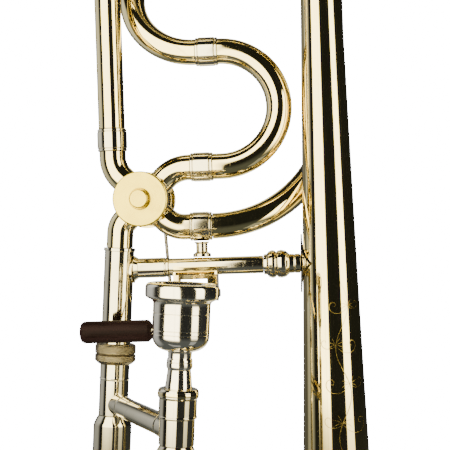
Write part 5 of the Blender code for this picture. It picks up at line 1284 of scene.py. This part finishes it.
def ring_line(radius, height):
    """A fine turned line, as three outline points going down."""
    return [(radius, height + LINE_HALF), (radius - LINE_DEPTH, height), (radius, height - LINE_HALF)]


def make_mouthpiece(holder):
    """Silver mouthpiece: rounded rim, ringed cup, stem bead and tapered shank."""
    top = MOUTH_RIM_TOP
    place = axis_empty("mouthpiece_axis", holder, (SLIDE_SPACING, 0, 0))
    rim = MOUTH_RIM_R
    end = RECEIVER_TOP - MOUTH_INSERT
    neck = top - MOUTH_NECK_AT
    cup = MOUTH_CUP_R
    low_cup = top - MOUTH_CUP_STRAIGHT
    bend = low_cup - neck
    under = top - MOUTH_RIM_HEIGHT
    outside = offsets(rim, top, (-3.4, 0), (-2.2, -0.1), (-1.2, -0.4), (-0.5, -1.0), (-0.1, -1.8), (0, -2.8))
    outside += offsets(rim, under, (0, 2.0), (-0.2, 1.3), (-0.8, 0.6))
    outside += offsets(cup, under, (1.4, -0.4), (0.5, -1.0), (0.1, -1.8), (0, -3.0))
    for mark in MOUTH_LINES:
        outside += ring_line(cup, top - mark)
    for step in range(0, 73, 6):
        angle = radians(step)
        outside.append((MOUTH_NECK_R + MOUTH_WAIST + (cup - MOUTH_NECK_R - MOUTH_WAIST) * cos(angle),
                        low_cup - bend * sin(angle)))
    outside += offsets(MOUTH_NECK_R, neck, (0.2, -0.4), (0, -1.2), (-0.1, -3.6), (0.4, -4.4))
    outside += ring_line(MOUTH_NECK_R + 0.0005, neck - 0.0058)
    outside += offsets(MOUTH_NECK_R, neck, (0.6, -8.0), (0.3, -9.0), (-0.2, -9.6), (-0.1, -10.4))
    outside += offsets(MOUTH_SHANK_R, RECEIVER_TOP, (0, 1.0), (0, -0.4)) + [(MOUTH_TIP_R, end)]
    inside = [(MOUTH_TIP_R - 0.0008, end), (MOUTH_THROAT_R + 0.0002, top - MOUTH_CUP_DEPTH - 0.0160),
              (MOUTH_THROAT_R, top - MOUTH_CUP_DEPTH - 0.0040)]
    for step in (80, 60, 40, 20, 0):
        angle = radians(step)
        inside.append((MOUTH_THROAT_R + (MOUTH_BITE_R - MOUTH_THROAT_R) * cos(angle) ** 0.8,
                       top - MOUTH_BITE_DEPTH - (MOUTH_CUP_DEPTH - MOUTH_BITE_DEPTH) * sin(angle)))
    inside.append((MOUTH_BITE_R + 0.0016, top - 0.0004))
    turned("mouthpiece", outside + inside, "silver", place, sides=CLOSE_SIDES)


# Thumb lever of the valve

def make_lever():
    """Thumb lever with its roller, and what it turns in and moves."""
    x0 = BRACKET_X0
    far = BRACKET_X1 - x0
    barrel_in = BRACKET_SKIN + GAP
    make_bracket()
    pivot = axis_empty("thumb_lever_axis", at=(x0, LEVER_Y, LEVER_Z))
    axle = rod_outline([(-AXLE_HEAD, AXLE_HEAD_R), (-GAP, AXLE_HEAD_R), (-GAP, AXLE_R), (far + GAP, AXLE_R),
                        (far + GAP, AXLE_HEAD_R), (far + AXLE_HEAD, AXLE_HEAD_R)])
    turned("lever_axle", axle, "steel", pivot, turn=(0, 90, 0), solid=True)
    sleeve_outline = tube_outline(LEVER_BARREL_R, AXLE_R + GAP, barrel_in, far - barrel_in)
    lever = turned("thumb_lever", sleeve_outline, "brass", pivot, turn=(0, 90, 0), sides=CLOSE_SIDES)
    half = radians(LEVER_TURN / 2)
    pin = Vector((LEVER_PIN_X - x0, LEVER_REAR * cos(half), -LEVER_REAR * sin(half)))
    bends = ((1.0, 0.08), (1.0, 0.62), (0.75, 0.88), (0.30, 0.99))
    rear = [Vector((ARM_X * side, pin.y * share, pin.z * share)) for side, share in bends]
    rear.append(pin + Vector((0.0030, 0, 0)))
    combine(lever, lever_arm("lever_rear", rear, LEVER_ROD_R * 0.8, pivot), "UNION")
    boss = rod_mesh(EYE_R - 0.0001, LOW_EYE_HALF + GAP, LOW_EYE_HALF * 3)
    join(lever, "lever_pin_boss", boss, pivot, pin, (0, 90, 0))
    roller = Vector((ROLLER_X1 - x0, ROLLER_Y - LEVER_Y, ROLLER_Z - LEVER_Z))
    front = [Vector((FRONT_ARM_X, -0.0022, -0.0014)), Vector((FRONT_ARM_X, roller.y * 0.72, roller.z * 0.80)),
             Vector((0.0120, roller.y * 0.93, roller.z * 0.96)), Vector((0.0060, roller.y, roller.z)),
             roller, roller + LEFT * 0.012]
    combine(lever, lever_arm("lever_front", front, LEVER_ROD_R, pivot), "UNION")
    make_roller(pivot, roller)
    make_link_rod(pin + Vector((x0, LEVER_Y, LEVER_Z)))
    make_lever_spring(pivot, barrel_in)


def make_roller(pivot, place):
    """Wooden roller on the lever's front arm, and the screw in the arm's end, at the place."""
    inner = LEVER_ROD_R + GAP
    length = ROLLER_X1 - ROLLER_X0
    r = ROLLER_R
    grip = [(0, 0), (r * 0.55, 0.0003), (r * 0.85, 0.0011), (r - 0.0001, 0.0026), (r, 0.0045),
            (r, length - 0.0016), (r - 0.0014, length), (inner, length), (inner, length - ROLLER_BORE),
            (0, length - ROLLER_BORE)]
    turned("thumb_roller", grip, "wood", pivot, (ROLLER_X0 - BRACKET_X0, place.y, place.z), (0, 90, 0),
           CLOSE_SIDES, True)
    screw = rod_outline(offsets(0, 0, (0.1, 2.1), (0.7, 2.1), (1.0, 1.8), (1.2, 1.0)))
    extra("roller_screw", turned_mesh(screw, 32, True), "silver", "thumb_lever", pivot,
          place, (0, 90, 0))


def lever_arm(name, points, radius, pivot):
    return swept(name, points, radius, "brass", sides=FINE_SIDES, parent=pivot)


def make_bracket():
    """Saddle under the brace with two cheeks for the axle and a windowed front apron."""
    x0 = BRACKET_X0
    x1 = BRACKET_X1
    skin = BRACKET_SKIN
    inner = BRACE_R + GAP
    half = BRACKET_HALF
    low = BRACE_Z - BRACKET_DEPTH
    outline = tube_outline(inner + skin, inner, x0, x1)
    bracket = turned("lever_bracket", outline, "brass", at=(0, 0, BRACE_Z), turn=(0, 90, 0))
    upper = box_corners(x0 - OVERCUT, -CUTTER_HALF, x1 + OVERCUT, CUTTER_HALF)
    cut(bracket, "bracket_upper_cut", prism_mesh(upper, BRACE_Z + BRACKET_UPPER_CUT, 0.03))
    top = BRACE_Z - BRACKET_APRON_TOP
    shoulder = BRACE_Z - BRACKET_SADDLE_LOW
    side = BRACE_Z - BRACKET_CHEEK_SIDE
    cheek = [(-half, top), (-half, side), (-half * 0.45, low + skin * 0.6), (0, low),
             (half * 0.45, low + skin * 0.6), (half, side), (half, top), (inner, shoulder),
             (-inner, shoulder)]
    for index, x in enumerate((x0, x1 - skin)):
        plate = prism_mesh(cheek, x, x + skin)
        plate.transform(axes_matrix(BACK, UP, RIGHT))
        join(bracket, f"bracket_cheek_{index}", plate)
    apron = prism_mesh(box_corners(x0, -half - skin * 0.5, x1, -half + skin * 0.5),
                       BRACE_Z - BRACKET_APRON_LOW, BRACE_Z - BRACKET_APRON_TOP)
    join(bracket, "bracket_apron", apron)
    opening = box_corners(x0 + WINDOW_LEFT, -half - WINDOW_DEPTH, x1 - WINDOW_RIGHT, -half + WINDOW_DEPTH)
    window = prism_mesh(opening, BRACE_Z - BRACKET_APRON_LOW + WINDOW_LOW,
                        BRACE_Z - BRACKET_APRON_TOP - WINDOW_TOP)
    cut(bracket, "bracket_window", window)
    clear = rod_mesh(inner, x0 - OVERCUT, x1 + OVERCUT)
    cut(bracket, "bracket_brace_clear", clear, at=(0, 0, BRACE_Z), turn=(0, 90, 0))
    hole = rod_mesh(AXLE_R + GAP, x0 - OVERCUT, x1 + OVERCUT)
    cut(bracket, "bracket_axle_hole", hole, at=(0, LEVER_Y, LEVER_Z), turn=(0, 90, 0))


def make_link_rod(pin):
    """Rod from the lever's rear pin up to the stop arm; its top end stands beside the arm's boss."""
    turn = radians(ARM_START)
    back = -(CASING_BACK - GAP - BEARING_THICK - STOP_ARM_BACK - STOP_PIN)
    top = Vector((ROTOR_X + STOP_ARM_R * cos(turn), back + GAP + EYE_HALF,
                  ROTOR_Z + STOP_ARM_R * sin(turn)))
    axis = axis_empty("link_rod_axis", at=pin)
    far = top - pin
    rod = swept("link_rod", [Vector(), far], LINK_ROD_R, "steel", sides=FINE_SIDES, parent=axis)
    low_eye = rod_mesh(EYE_R, -LOW_EYE_HALF, LOW_EYE_HALF)
    join(rod, "rod_low_eye", low_eye, axis, turn=(0, 90, 0))
    high_eye = rod_mesh(EYE_R, -EYE_HALF, EYE_HALF)
    join(rod, "rod_high_eye", high_eye, axis, far, (90, 0, 0))


def make_lever_spring(pivot, start):
    """Torsion spring wound round the lever's barrel."""
    radius = LEVER_BARREL_R / cos(pi / SPRING_STEPS) + SPRING_WIRE_R * 1.2 + GAP
    first = start + SPRING_WIRE_R + GAP
    points = []
    for index in range(SPRING_TURNS * SPRING_STEPS + 1):
        angle = 2 * pi * index / SPRING_STEPS
        place = first + SPRING_PITCH * index / SPRING_STEPS
        points.append(Vector((place, radius * cos(angle), radius * sin(angle))))
    swept("lever_spring", points, SPRING_WIRE_R, "steel", sides=6, parent=pivot)


# Engraving on the bell

def on_bell(across, height):
    """A place on the bell's skin, by distance across its front and height."""
    radius = bell_radius(height) + ENGRAVED_LIFT
    angle = ENGRAVED_TURN + across / bell_radius(height)
    return Vector((BELL_X + radius * sin(angle), -radius * cos(angle), height))


def volute(start, size, heading, turns, wind):
    """A curl that starts straight and winds up, as (across, height) points."""
    points = []
    place = Vector(start)
    for index in range(VOLUTE_STEPS):
        share = index / VOLUTE_STEPS
        points.append(place.copy())
        heading += wind * radians(360 * turns / VOLUTE_STEPS) * (0.35 + 1.3 * share)
        place = place + Vector((cos(heading), sin(heading))) * size * (1.15 - share) * 0.16
    return points


def leaf(start, size, turn, bend):
    """One curved stroke of a leaf."""
    points = []
    for index in range(LEAF_STEPS + 1):
        share = index / LEAF_STEPS
        aim = Vector((cos(turn + bend * share), sin(turn + bend * share)))
        points.append(start + aim * size * share)
    return points


def engraved_lines():
    """A wavy stem down the bell's front, with volutes and leaves at every parting, as points and weight."""
    stem = []
    for index in range(STEM_STEPS + 1):
        share = index / STEM_STEPS
        stem.append(Vector((ENGRAVED_SWING * sin(share * ENGRAVED_WAVES * pi),
                            ENGRAVED_TOP + (ENGRAVED_LOW - ENGRAVED_TOP) * share)))
    lines = [(stem, 1.0)]
    for order in range(PARTINGS):
        place = stem[FIRST_PARTING + order * PARTING_STEPS]
        side = 1 if order % 2 else -1
        size = VOLUTE_SIZE + VOLUTE_GROWTH * order
        lines.append((volute(place, size, radians(-90 + side * 35), 1.35, side), 1.0))
        lines.append((volute(place, size * 0.6, radians(-90 - side * 50), 1.1, -side), 0.8))
        for spread in (-70, -42, -18, 18, 42, 70):
            lines.append((leaf(place, size * 0.95, radians(90 + spread), radians(spread * 0.6)), 0.6))
    return lines


def make_engraving():
    """Every line as a fine raised ribbon, thin at both ends."""
    bm = bmesh.new()
    for points, weight in engraved_lines():
        rows = []
        count = len(points) - 1
        for index, point in enumerate(points):
            ahead = points[min(index + 1, count)] - points[max(index - 1, 0)]
            if ahead.length < 1e-9:
                continue
            aside = Vector((-ahead.y, ahead.x)).normalized()
            share = index / count
            half = ENGRAVED_HALF * weight * (0.25 + 0.75 * sin(pi * share))
            rows.append([bm.verts.new(on_bell(*(point + aside * half * way))) for way in (-1, 1)])
        for first, second in zip(rows, rows[1:]):
            bm.faces.new((first[0], first[1], second[1], second[0]))
    extra("engraving", as_mesh(bm), "engraved", "bell")


# Assembly

make_bell()
make_bell_sleeve()
make_gooseneck()
make_main_tuning_slide()
make_upper_brace()
make_valve()
f_ferrule_start, f_ferrule_end = make_f_loop()
make_bell_brace(f_ferrule_start, f_ferrule_end)
neck_axis = axis_empty("neck_axis", turn=(0, NECK_TILT, 0))
make_neck(neck_axis)
make_nut(neck_axis)
slide_frame = axis_empty("slide_frame", neck_axis, turn=(0, 0, -SLIDE_TURN))
barrel_hollow = make_fixed_slide(slide_frame)
make_hand_slide(slide_frame, barrel_hollow)
make_mouthpiece(slide_frame)
make_lever()
make_engraving()


# Metals and other finishes

class Nodes:
    """Short ways to add and join shader nodes in one tree."""

    def __init__(self, tree):
        self.tree = tree

    def new(self, kind):
        return self.tree.nodes.new("ShaderNode" + kind)

    def feed(self, slot, value):
        """Gives an input a socket, a number, a vector or a colour."""
        if isinstance(value, bpy.types.NodeSocket):
            self.tree.links.new(value, slot)
        else:
            slot.default_value = (*value, 1.0) if slot.type == "RGBA" else value

    def math(self, operation, first, second=0.0):
        node = self.new("Math")
        node.operation = operation
        self.feed(node.inputs[0], first)
        self.feed(node.inputs[1], second)
        return node.outputs[0]

    def split(self, vector):
        node = self.new("SeparateXYZ")
        self.feed(node.inputs[0], vector)
        return node.outputs

    def ramp(self, value, low, high, dark=0.0, light=1.0):
        node = self.new("MapRange")
        for name, item in (("Value", value), ("From Min", low), ("From Max", high), ("To Min", dark),
                           ("To Max", light)):
            self.feed(node.inputs[name], item)
        return node.outputs[0]

    def mix(self, share, first, second):
        node = self.new("Mix")
        node.data_type = "RGBA"
        self.feed(node.inputs["Factor"], share)
        self.feed(node.inputs[6], first)
        self.feed(node.inputs[7], second)
        return node.outputs[2]


class Look(Nodes):
    """A material, its patterns laid out in the piece's own coordinates."""

    def __init__(self, name):
        self.material = bpy.data.materials.new(name)
        self.material.use_nodes = True
        super().__init__(self.material.node_tree)
        self.shader = self.tree.nodes["Principled BSDF"]
        self.place = self.new("TexCoord").outputs["Object"]

    def set(self, colour, roughness, metallic=None, specular=None):
        for name, value in (("Base Color", colour), ("Roughness", roughness), ("Metallic", metallic),
                            ("Specular IOR Level", specular)):
            if value is not None:
                self.feed(self.shader.inputs[name], value)

    def mapped(self, slot, value):
        """The coordinates scaled or turned."""
        node = self.new("Mapping")
        self.feed(node.inputs[slot], value)
        self.feed(node.inputs["Vector"], self.place)
        return node.outputs[0]

    def noise(self, scale, detail, stretch=(1, 1, 1)):
        texture = self.new("TexNoise")
        self.feed(texture.inputs["Scale"], scale)
        self.feed(texture.inputs["Detail"], detail)
        self.feed(texture.inputs["Vector"], self.mapped("Scale", stretch))
        return texture.outputs["Fac"]

    def bump(self, height, strength, distance, below=None):
        node = self.new("Bump")
        self.feed(node.inputs["Strength"], strength)
        self.feed(node.inputs["Distance"], distance)
        self.feed(node.inputs["Height"], height)
        if below is not None:
            self.feed(node.inputs["Normal"], below)
        self.feed(self.shader.inputs["Normal"], node.outputs[0])
        return node.outputs[0]


def metal(name, colour, toned, gloss, ripple):
    """Polished metal: cloudy tone, a hand-buffed ripple, wiping marks and fine scratches."""
    look = Look(name)
    cloud = look.ramp(look.noise(34, 3), 0.42, 0.72)
    speck = look.ramp(look.noise(420, 4), 0.60, 0.78)
    base = look.mix(cloud, colour, toned)
    base = look.mix(look.math("MULTIPLY", speck, 0.35), base, tuple(c * 0.72 for c in toned))
    wiped = look.ramp(look.noise(60, 4, (1, 1, 0.25)), 0.45, 0.75, gloss, gloss + 0.05)
    marks = look.ramp(look.noise(900, 2, (1, 1, 0.05)), 0.62, 0.80, 0.0, 0.10)
    look.set(base, look.math("ADD", wiped, marks), 1.0)
    wave = look.bump(look.noise(26, 1), ripple, 0.0006)
    look.bump(look.noise(1600, 2, (1, 1, 0.08)), 0.06, 0.00004, wave)
    return look.material


def make_wood():
    """Near-black wood with its grain along the roller."""
    look = Look("dark_wood")
    rings = look.noise(260, 5, (0.10, 1, 1))
    pores = look.ramp(look.noise(1500, 3, (0.05, 1, 1)), 0.58, 0.70)
    base = look.mix(look.ramp(rings, 0.35, 0.66), (0.0072, 0.0033, 0.0031), (0.0150, 0.0075, 0.0074))
    base = look.mix(pores, base, (0.0050, 0.0022, 0.0016))
    look.set(base, look.ramp(rings, 0.3, 0.7, 0.42, 0.60), specular=0.04)
    look.bump(pores, 0.25, 0.00008)
    return look.material


def make_cork():
    look = Look("cork")
    grain = look.ramp(look.noise(1800, 4), 0.38, 0.66)
    look.set(look.mix(grain, (0.13, 0.07, 0.03), (0.26, 0.17, 0.09)), 0.85)
    look.bump(grain, 0.6, 0.0001)
    return look.material


def make_rubber():
    """Black rubber with dust on it."""
    look = Look("black_rubber")
    dust = look.ramp(look.noise(700, 4), 0.45, 0.75)
    base = look.mix(dust, (0.006, 0.006, 0.006), (0.018, 0.017, 0.016))
    look.set(base, look.ramp(dust, 0, 1, 0.50, 0.72), specular=0.12)
    look.bump(dust, 0.3, 0.0001)
    return look.material


def make_cap_brass():
    """Satin lacquered brass with the fine circles that a lathe leaves round the cap's axis."""
    look = Look("satin_brass")
    x, _, z = look.split(look.place)
    across = look.math("SUBTRACT", x, ROTOR_X)
    upward = look.math("SUBTRACT", z, ROTOR_Z)
    squares = look.math("ADD", look.math("MULTIPLY", across, across), look.math("MULTIPLY", upward, upward))
    circles = look.math("SINE", look.math("MULTIPLY", look.math("SQRT", squares), CAP_CIRCLES))
    cloud = look.ramp(look.noise(90, 3), 0.40, 0.70)
    look.set(look.mix(cloud, (0.74, 0.58, 0.08), (0.68, 0.52, 0.07)),
             look.ramp(look.noise(240, 4), 0.35, 0.75, 0.24, 0.32), 1.0)
    look.bump(circles, 0.10, 0.00002)
    return look.material


def make_knurl():
    """Nickel nut with crossed knurling on both bands, worn to the brass below; the grooves between the ridges
    are painted dark as painted shade.
    """
    look = Look("knurled_nickel")
    x, y, z = look.split(look.mapped("Rotation", (0, radians(-NECK_TILT), 0)))
    turns = look.math("MULTIPLY", look.math("ARCTAN2", y, x), KNURL_AROUND)
    rise = look.math("MULTIPLY", z, KNURL_ALONG)
    knurl_and_groove_shade = look.math("MAXIMUM", look.math("SINE", look.math("ADD", turns, rise)),
                     look.math("SINE", look.math("SUBTRACT", turns, rise)))
    worn = look.ramp(look.noise(300, 4), 0.35, 0.70)
    base = look.mix(worn, (0.40, 0.34, 0.22), (0.29, 0.24, 0.14))
    # painted shade: the knurl's grooves take a dark colour and its ridges the worn nickel; the same pattern
    # also bumps the surface
    look.set(look.mix(look.ramp(knurl_and_groove_shade, -0.2, 1.0), (0.13, 0.105, 0.06), base), 0.26, 1.0)
    look.bump(knurl_and_groove_shade, 0.7, 0.00016)
    return look.material


def make_engraved():
    """Cut lines: the lacquer's gold gone matt in the groove, and coloured dark there as painted shade of the
    groove.
    """
    look = Look("engraved_brass")
    groove_depth_and_shade = look.ramp(look.noise(700, 3), 0.35, 0.70)
    # painted shade: the raised ribbons are darker than the bell where a real cut would hold shade, more in
    # some places than others; the matt roughness is the cut's own
    look.set(look.mix(groove_depth_and_shade, (0.20, 0.14, 0.04), (0.62, 0.47, 0.12)), 0.38, 1.0)
    look.bump(groove_depth_and_shade, 0.4, 0.00005)
    return look.material


LOOKS = {
    "brass": metal("lacquered_brass", (0.93, 0.79, 0.40), (0.87, 0.72, 0.34), 0.045, 0.06),
    "nickel": metal("nickel_silver", (0.80, 0.73, 0.54), (0.72, 0.65, 0.46), 0.055, 0.08),
    "silver": metal("silver_plate", (0.93, 0.87, 0.73), (0.86, 0.79, 0.63), 0.10, 0.10),
    "steel": metal("steel", (0.22, 0.205, 0.18), (0.16, 0.15, 0.13), 0.24, 0.25),
    "engraved": make_engraved(), "wood": make_wood(), "cork": make_cork(), "rubber": make_rubber(),
}
OWN_LOOKS = {"valve_cap": make_cap_brass(), "neck_nut": make_knurl()}
ALSO = {"bell": ("bell_throat", "bell_stem")}    # nodes that a piece replaces besides its own


# Each fine piece takes its node's place and rides on its body

body_of = {node: body for body, members in frame["record"]["behaviour"]["bodies"].items() for node in members}
bpy.context.view_layer.update()
graph = bpy.context.evaluated_depsgraph_get()


def settled(piece, name, look):
    """The piece's finished mesh in the row's frame, with soft shading that keeps clear edges."""
    mesh = bpy.data.meshes.new_from_object(piece.evaluated_get(graph))
    mesh.transform(piece.matrix_world)
    mesh.materials.clear()
    mesh.materials.append(look)
    mesh.shade_smooth()
    mesh.set_sharp_from_angle(angle=SHARP_FROM)
    mesh.name = name
    made = put(name, mesh)
    even = made.modifiers.new("even", "WEIGHTED_NORMAL")
    even.keep_sharp = True
    even.weight = 90
    return made


for node, (piece, kind) in sorted(PIECES.items()):
    made = settled(piece, "look_" + node, OWN_LOOKS.get(node, LOOKS[kind]))
    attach(made, body_of[node])
    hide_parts(node, *ALSO.get(node, ()))
for piece, kind, carrier in EXTRAS:
    made = settled(piece, "fine_" + piece.name, LOOKS[kind])
    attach(made, body_of[carrier])
keep = {"look_" + node for node in PIECES} | set(frame["nodes"])
keep |= {"fine_" + piece.name for piece, kind, carrier in EXTRAS}
keep |= {empty.name for empty in frame["bodies"].values()}
for item in list(bpy.data.objects):
    if item.name not in keep:
        bpy.data.objects.remove(item, do_unlink=True)


# Studio: floor, lights and the pale surroundings

floor_z = cad_box[0][2] - SLIDE_REACH - FLOOR_GAP
rim = [2 * pi * index / FLOOR_SIDES for index in range(FLOOR_SIDES)]
corners = [(FLOOR_R * cos(angle), FLOOR_R * sin(angle)) for angle in rim]
floor = put("floor", prism_mesh(corners, floor_z - FLOOR_THICK, floor_z))
pale = Look("pale_floor")
pale.set(pale.mix(pale.noise(3, 2), (0.80, 0.81, 0.82), (0.84, 0.85, 0.86)), 0.9)
floor.data.materials.append(pale.material)
floor.visible_glossy = False


def panel(name, left, right, low, high, strength, tint, soft=SOFT_EDGE, low_soft=SOFT_EDGE, fall=3.0):
    """An upright softbox between two (x, y) places, facing the instrument, with a soft edge."""
    start = Vector((*left, 0))
    end = Vector((*right, 0))
    data = bpy.data.lights.new(name, "AREA")
    data.shape = "RECTANGLE"
    data.size = (end - start).length
    data.size_y = high - low
    data.energy = 1.0
    data.color = tint
    data.use_nodes = True
    nodes = Nodes(data.node_tree)
    x, y, _ = nodes.split(nodes.new("NewGeometry").outputs["Parametric"])
    mask = nodes.math("POWER", nodes.ramp(y, 0.0, low_soft), fall)
    far = nodes.math("SUBTRACT", 1.0, x)
    top = nodes.math("SUBTRACT", 1.0, y)
    for value, width in ((x, soft), (far, soft), (top, SOFT_EDGE)):
        mask = nodes.math("MULTIPLY", mask, nodes.ramp(value, 0.0, width))
    power = nodes.math("MULTIPLY", mask, strength * data.size * data.size_y * pi)
    nodes.feed(data.node_tree.nodes["Emission"].inputs["Strength"], power)
    lamp = put(name, data)
    lamp.visible_camera = False
    middle = Vector(((left[0] + right[0]) / 2, (left[1] + right[1]) / 2, (low + high) / 2))
    out = (end - start).normalized().cross(UP)
    if (LIT_PLACE - middle).dot(out) < 0:
        out = -out
    side = UP.cross(-out)
    lamp.matrix_world = Matrix.Translation(middle) @ axes_matrix(side, UP, -out)


# Name, ends seen from above, low and high edge, strength, tint, soft edges and the fall of the low one
panel("left_front", (-0.36, -0.275), (-0.02, -0.298), -0.225, 0.48, 8.0, WARM, low_soft=0.17)
panel("left_near", (-0.035, -0.298), (0.050, -0.300), -0.225, 0.48, 8.0, WARM, 0.18, 0.17)
panel("right_front", (0.52, -0.500), (0.67, -0.220), -0.45, 0.42, 8.0, WARM, low_soft=0.40)
panel("left_card", (-0.30, -0.11), (-0.22, 0.22), -0.36, 0.34, 0.95, COOL, 0.28, 0.70, 1.0)
panel("back_card", (-0.22, 0.22), (-0.10, 0.40), -0.36, 0.34, 0.20, COOL, 0.06, 0.70, 1.0)
panel("left_low", (-0.36, -0.275), (0.04, -0.300), -0.95, -0.42, 0.35, COOL)
panel("right_low", (0.52, -0.500), (0.68, -0.200), -0.95, -0.42, 0.35, COOL)
panel("behind", (-0.27, 0.90), (0.39, 0.90), -0.32, 0.42, 0.25, COOL, 0.25)
panel("behind_low", (-0.45, 0.90), (0.57, 0.90), -0.95, -0.34, 2.0, WARM, 0.25)
panel("behind_high", (-0.45, 0.90), (0.57, 0.90), 0.46, 1.10, 1.6, WARM, 0.25)

# The camera sees white, polished metal mirrors a dark room over a grey ground, and the rest is lit pale
world = bpy.data.worlds.new("studio")
bpy.context.scene.world = world
world.use_nodes = True
sky = Nodes(world.node_tree)
background = world.node_tree.nodes["Background"]
path = sky.new("LightPath")
height = sky.split(sky.new("TexCoord").outputs["Generated"])[2]
mirrored = sky.mix(sky.ramp(height, -0.12, -0.55), (0.015, 0.016, 0.016), (0.10, 0.11, 0.11))
glossy = sky.mix(path.outputs["Is Glossy Ray"], (0.85, 0.85, 0.85), mirrored)
sky.feed(background.inputs["Color"], sky.mix(path.outputs["Is Camera Ray"], glossy, (1.0, 1.0, 1.0)))
sky.feed(background.inputs["Strength"], sky.ramp(path.outputs["Is Camera Ray"], 0, 1, 1.0, BACKDROP))


# Camera, where the photographer stood

ahead = Vector((-sin(CAMERA_TURN), cos(CAMERA_TURN), 0))
right = Vector((cos(CAMERA_TURN), sin(CAMERA_TURN), 0))
across = right * cos(CAMERA_ROLL) - UP * sin(CAMERA_ROLL)
upward = UP * cos(CAMERA_ROLL) + right * sin(CAMERA_ROLL)
lens = bpy.data.cameras.new("camera")
lens.sensor_width = SENSOR
lens.lens = SENSOR * FOCAL_PIXELS / PHOTO_PIXELS
lens.clip_start = 0.01
camera = put("camera", lens)
camera.matrix_world = Matrix.Translation(CAMERA_PLACE) @ axes_matrix(across, upward, -ahead)
bpy.context.scene.camera = camera
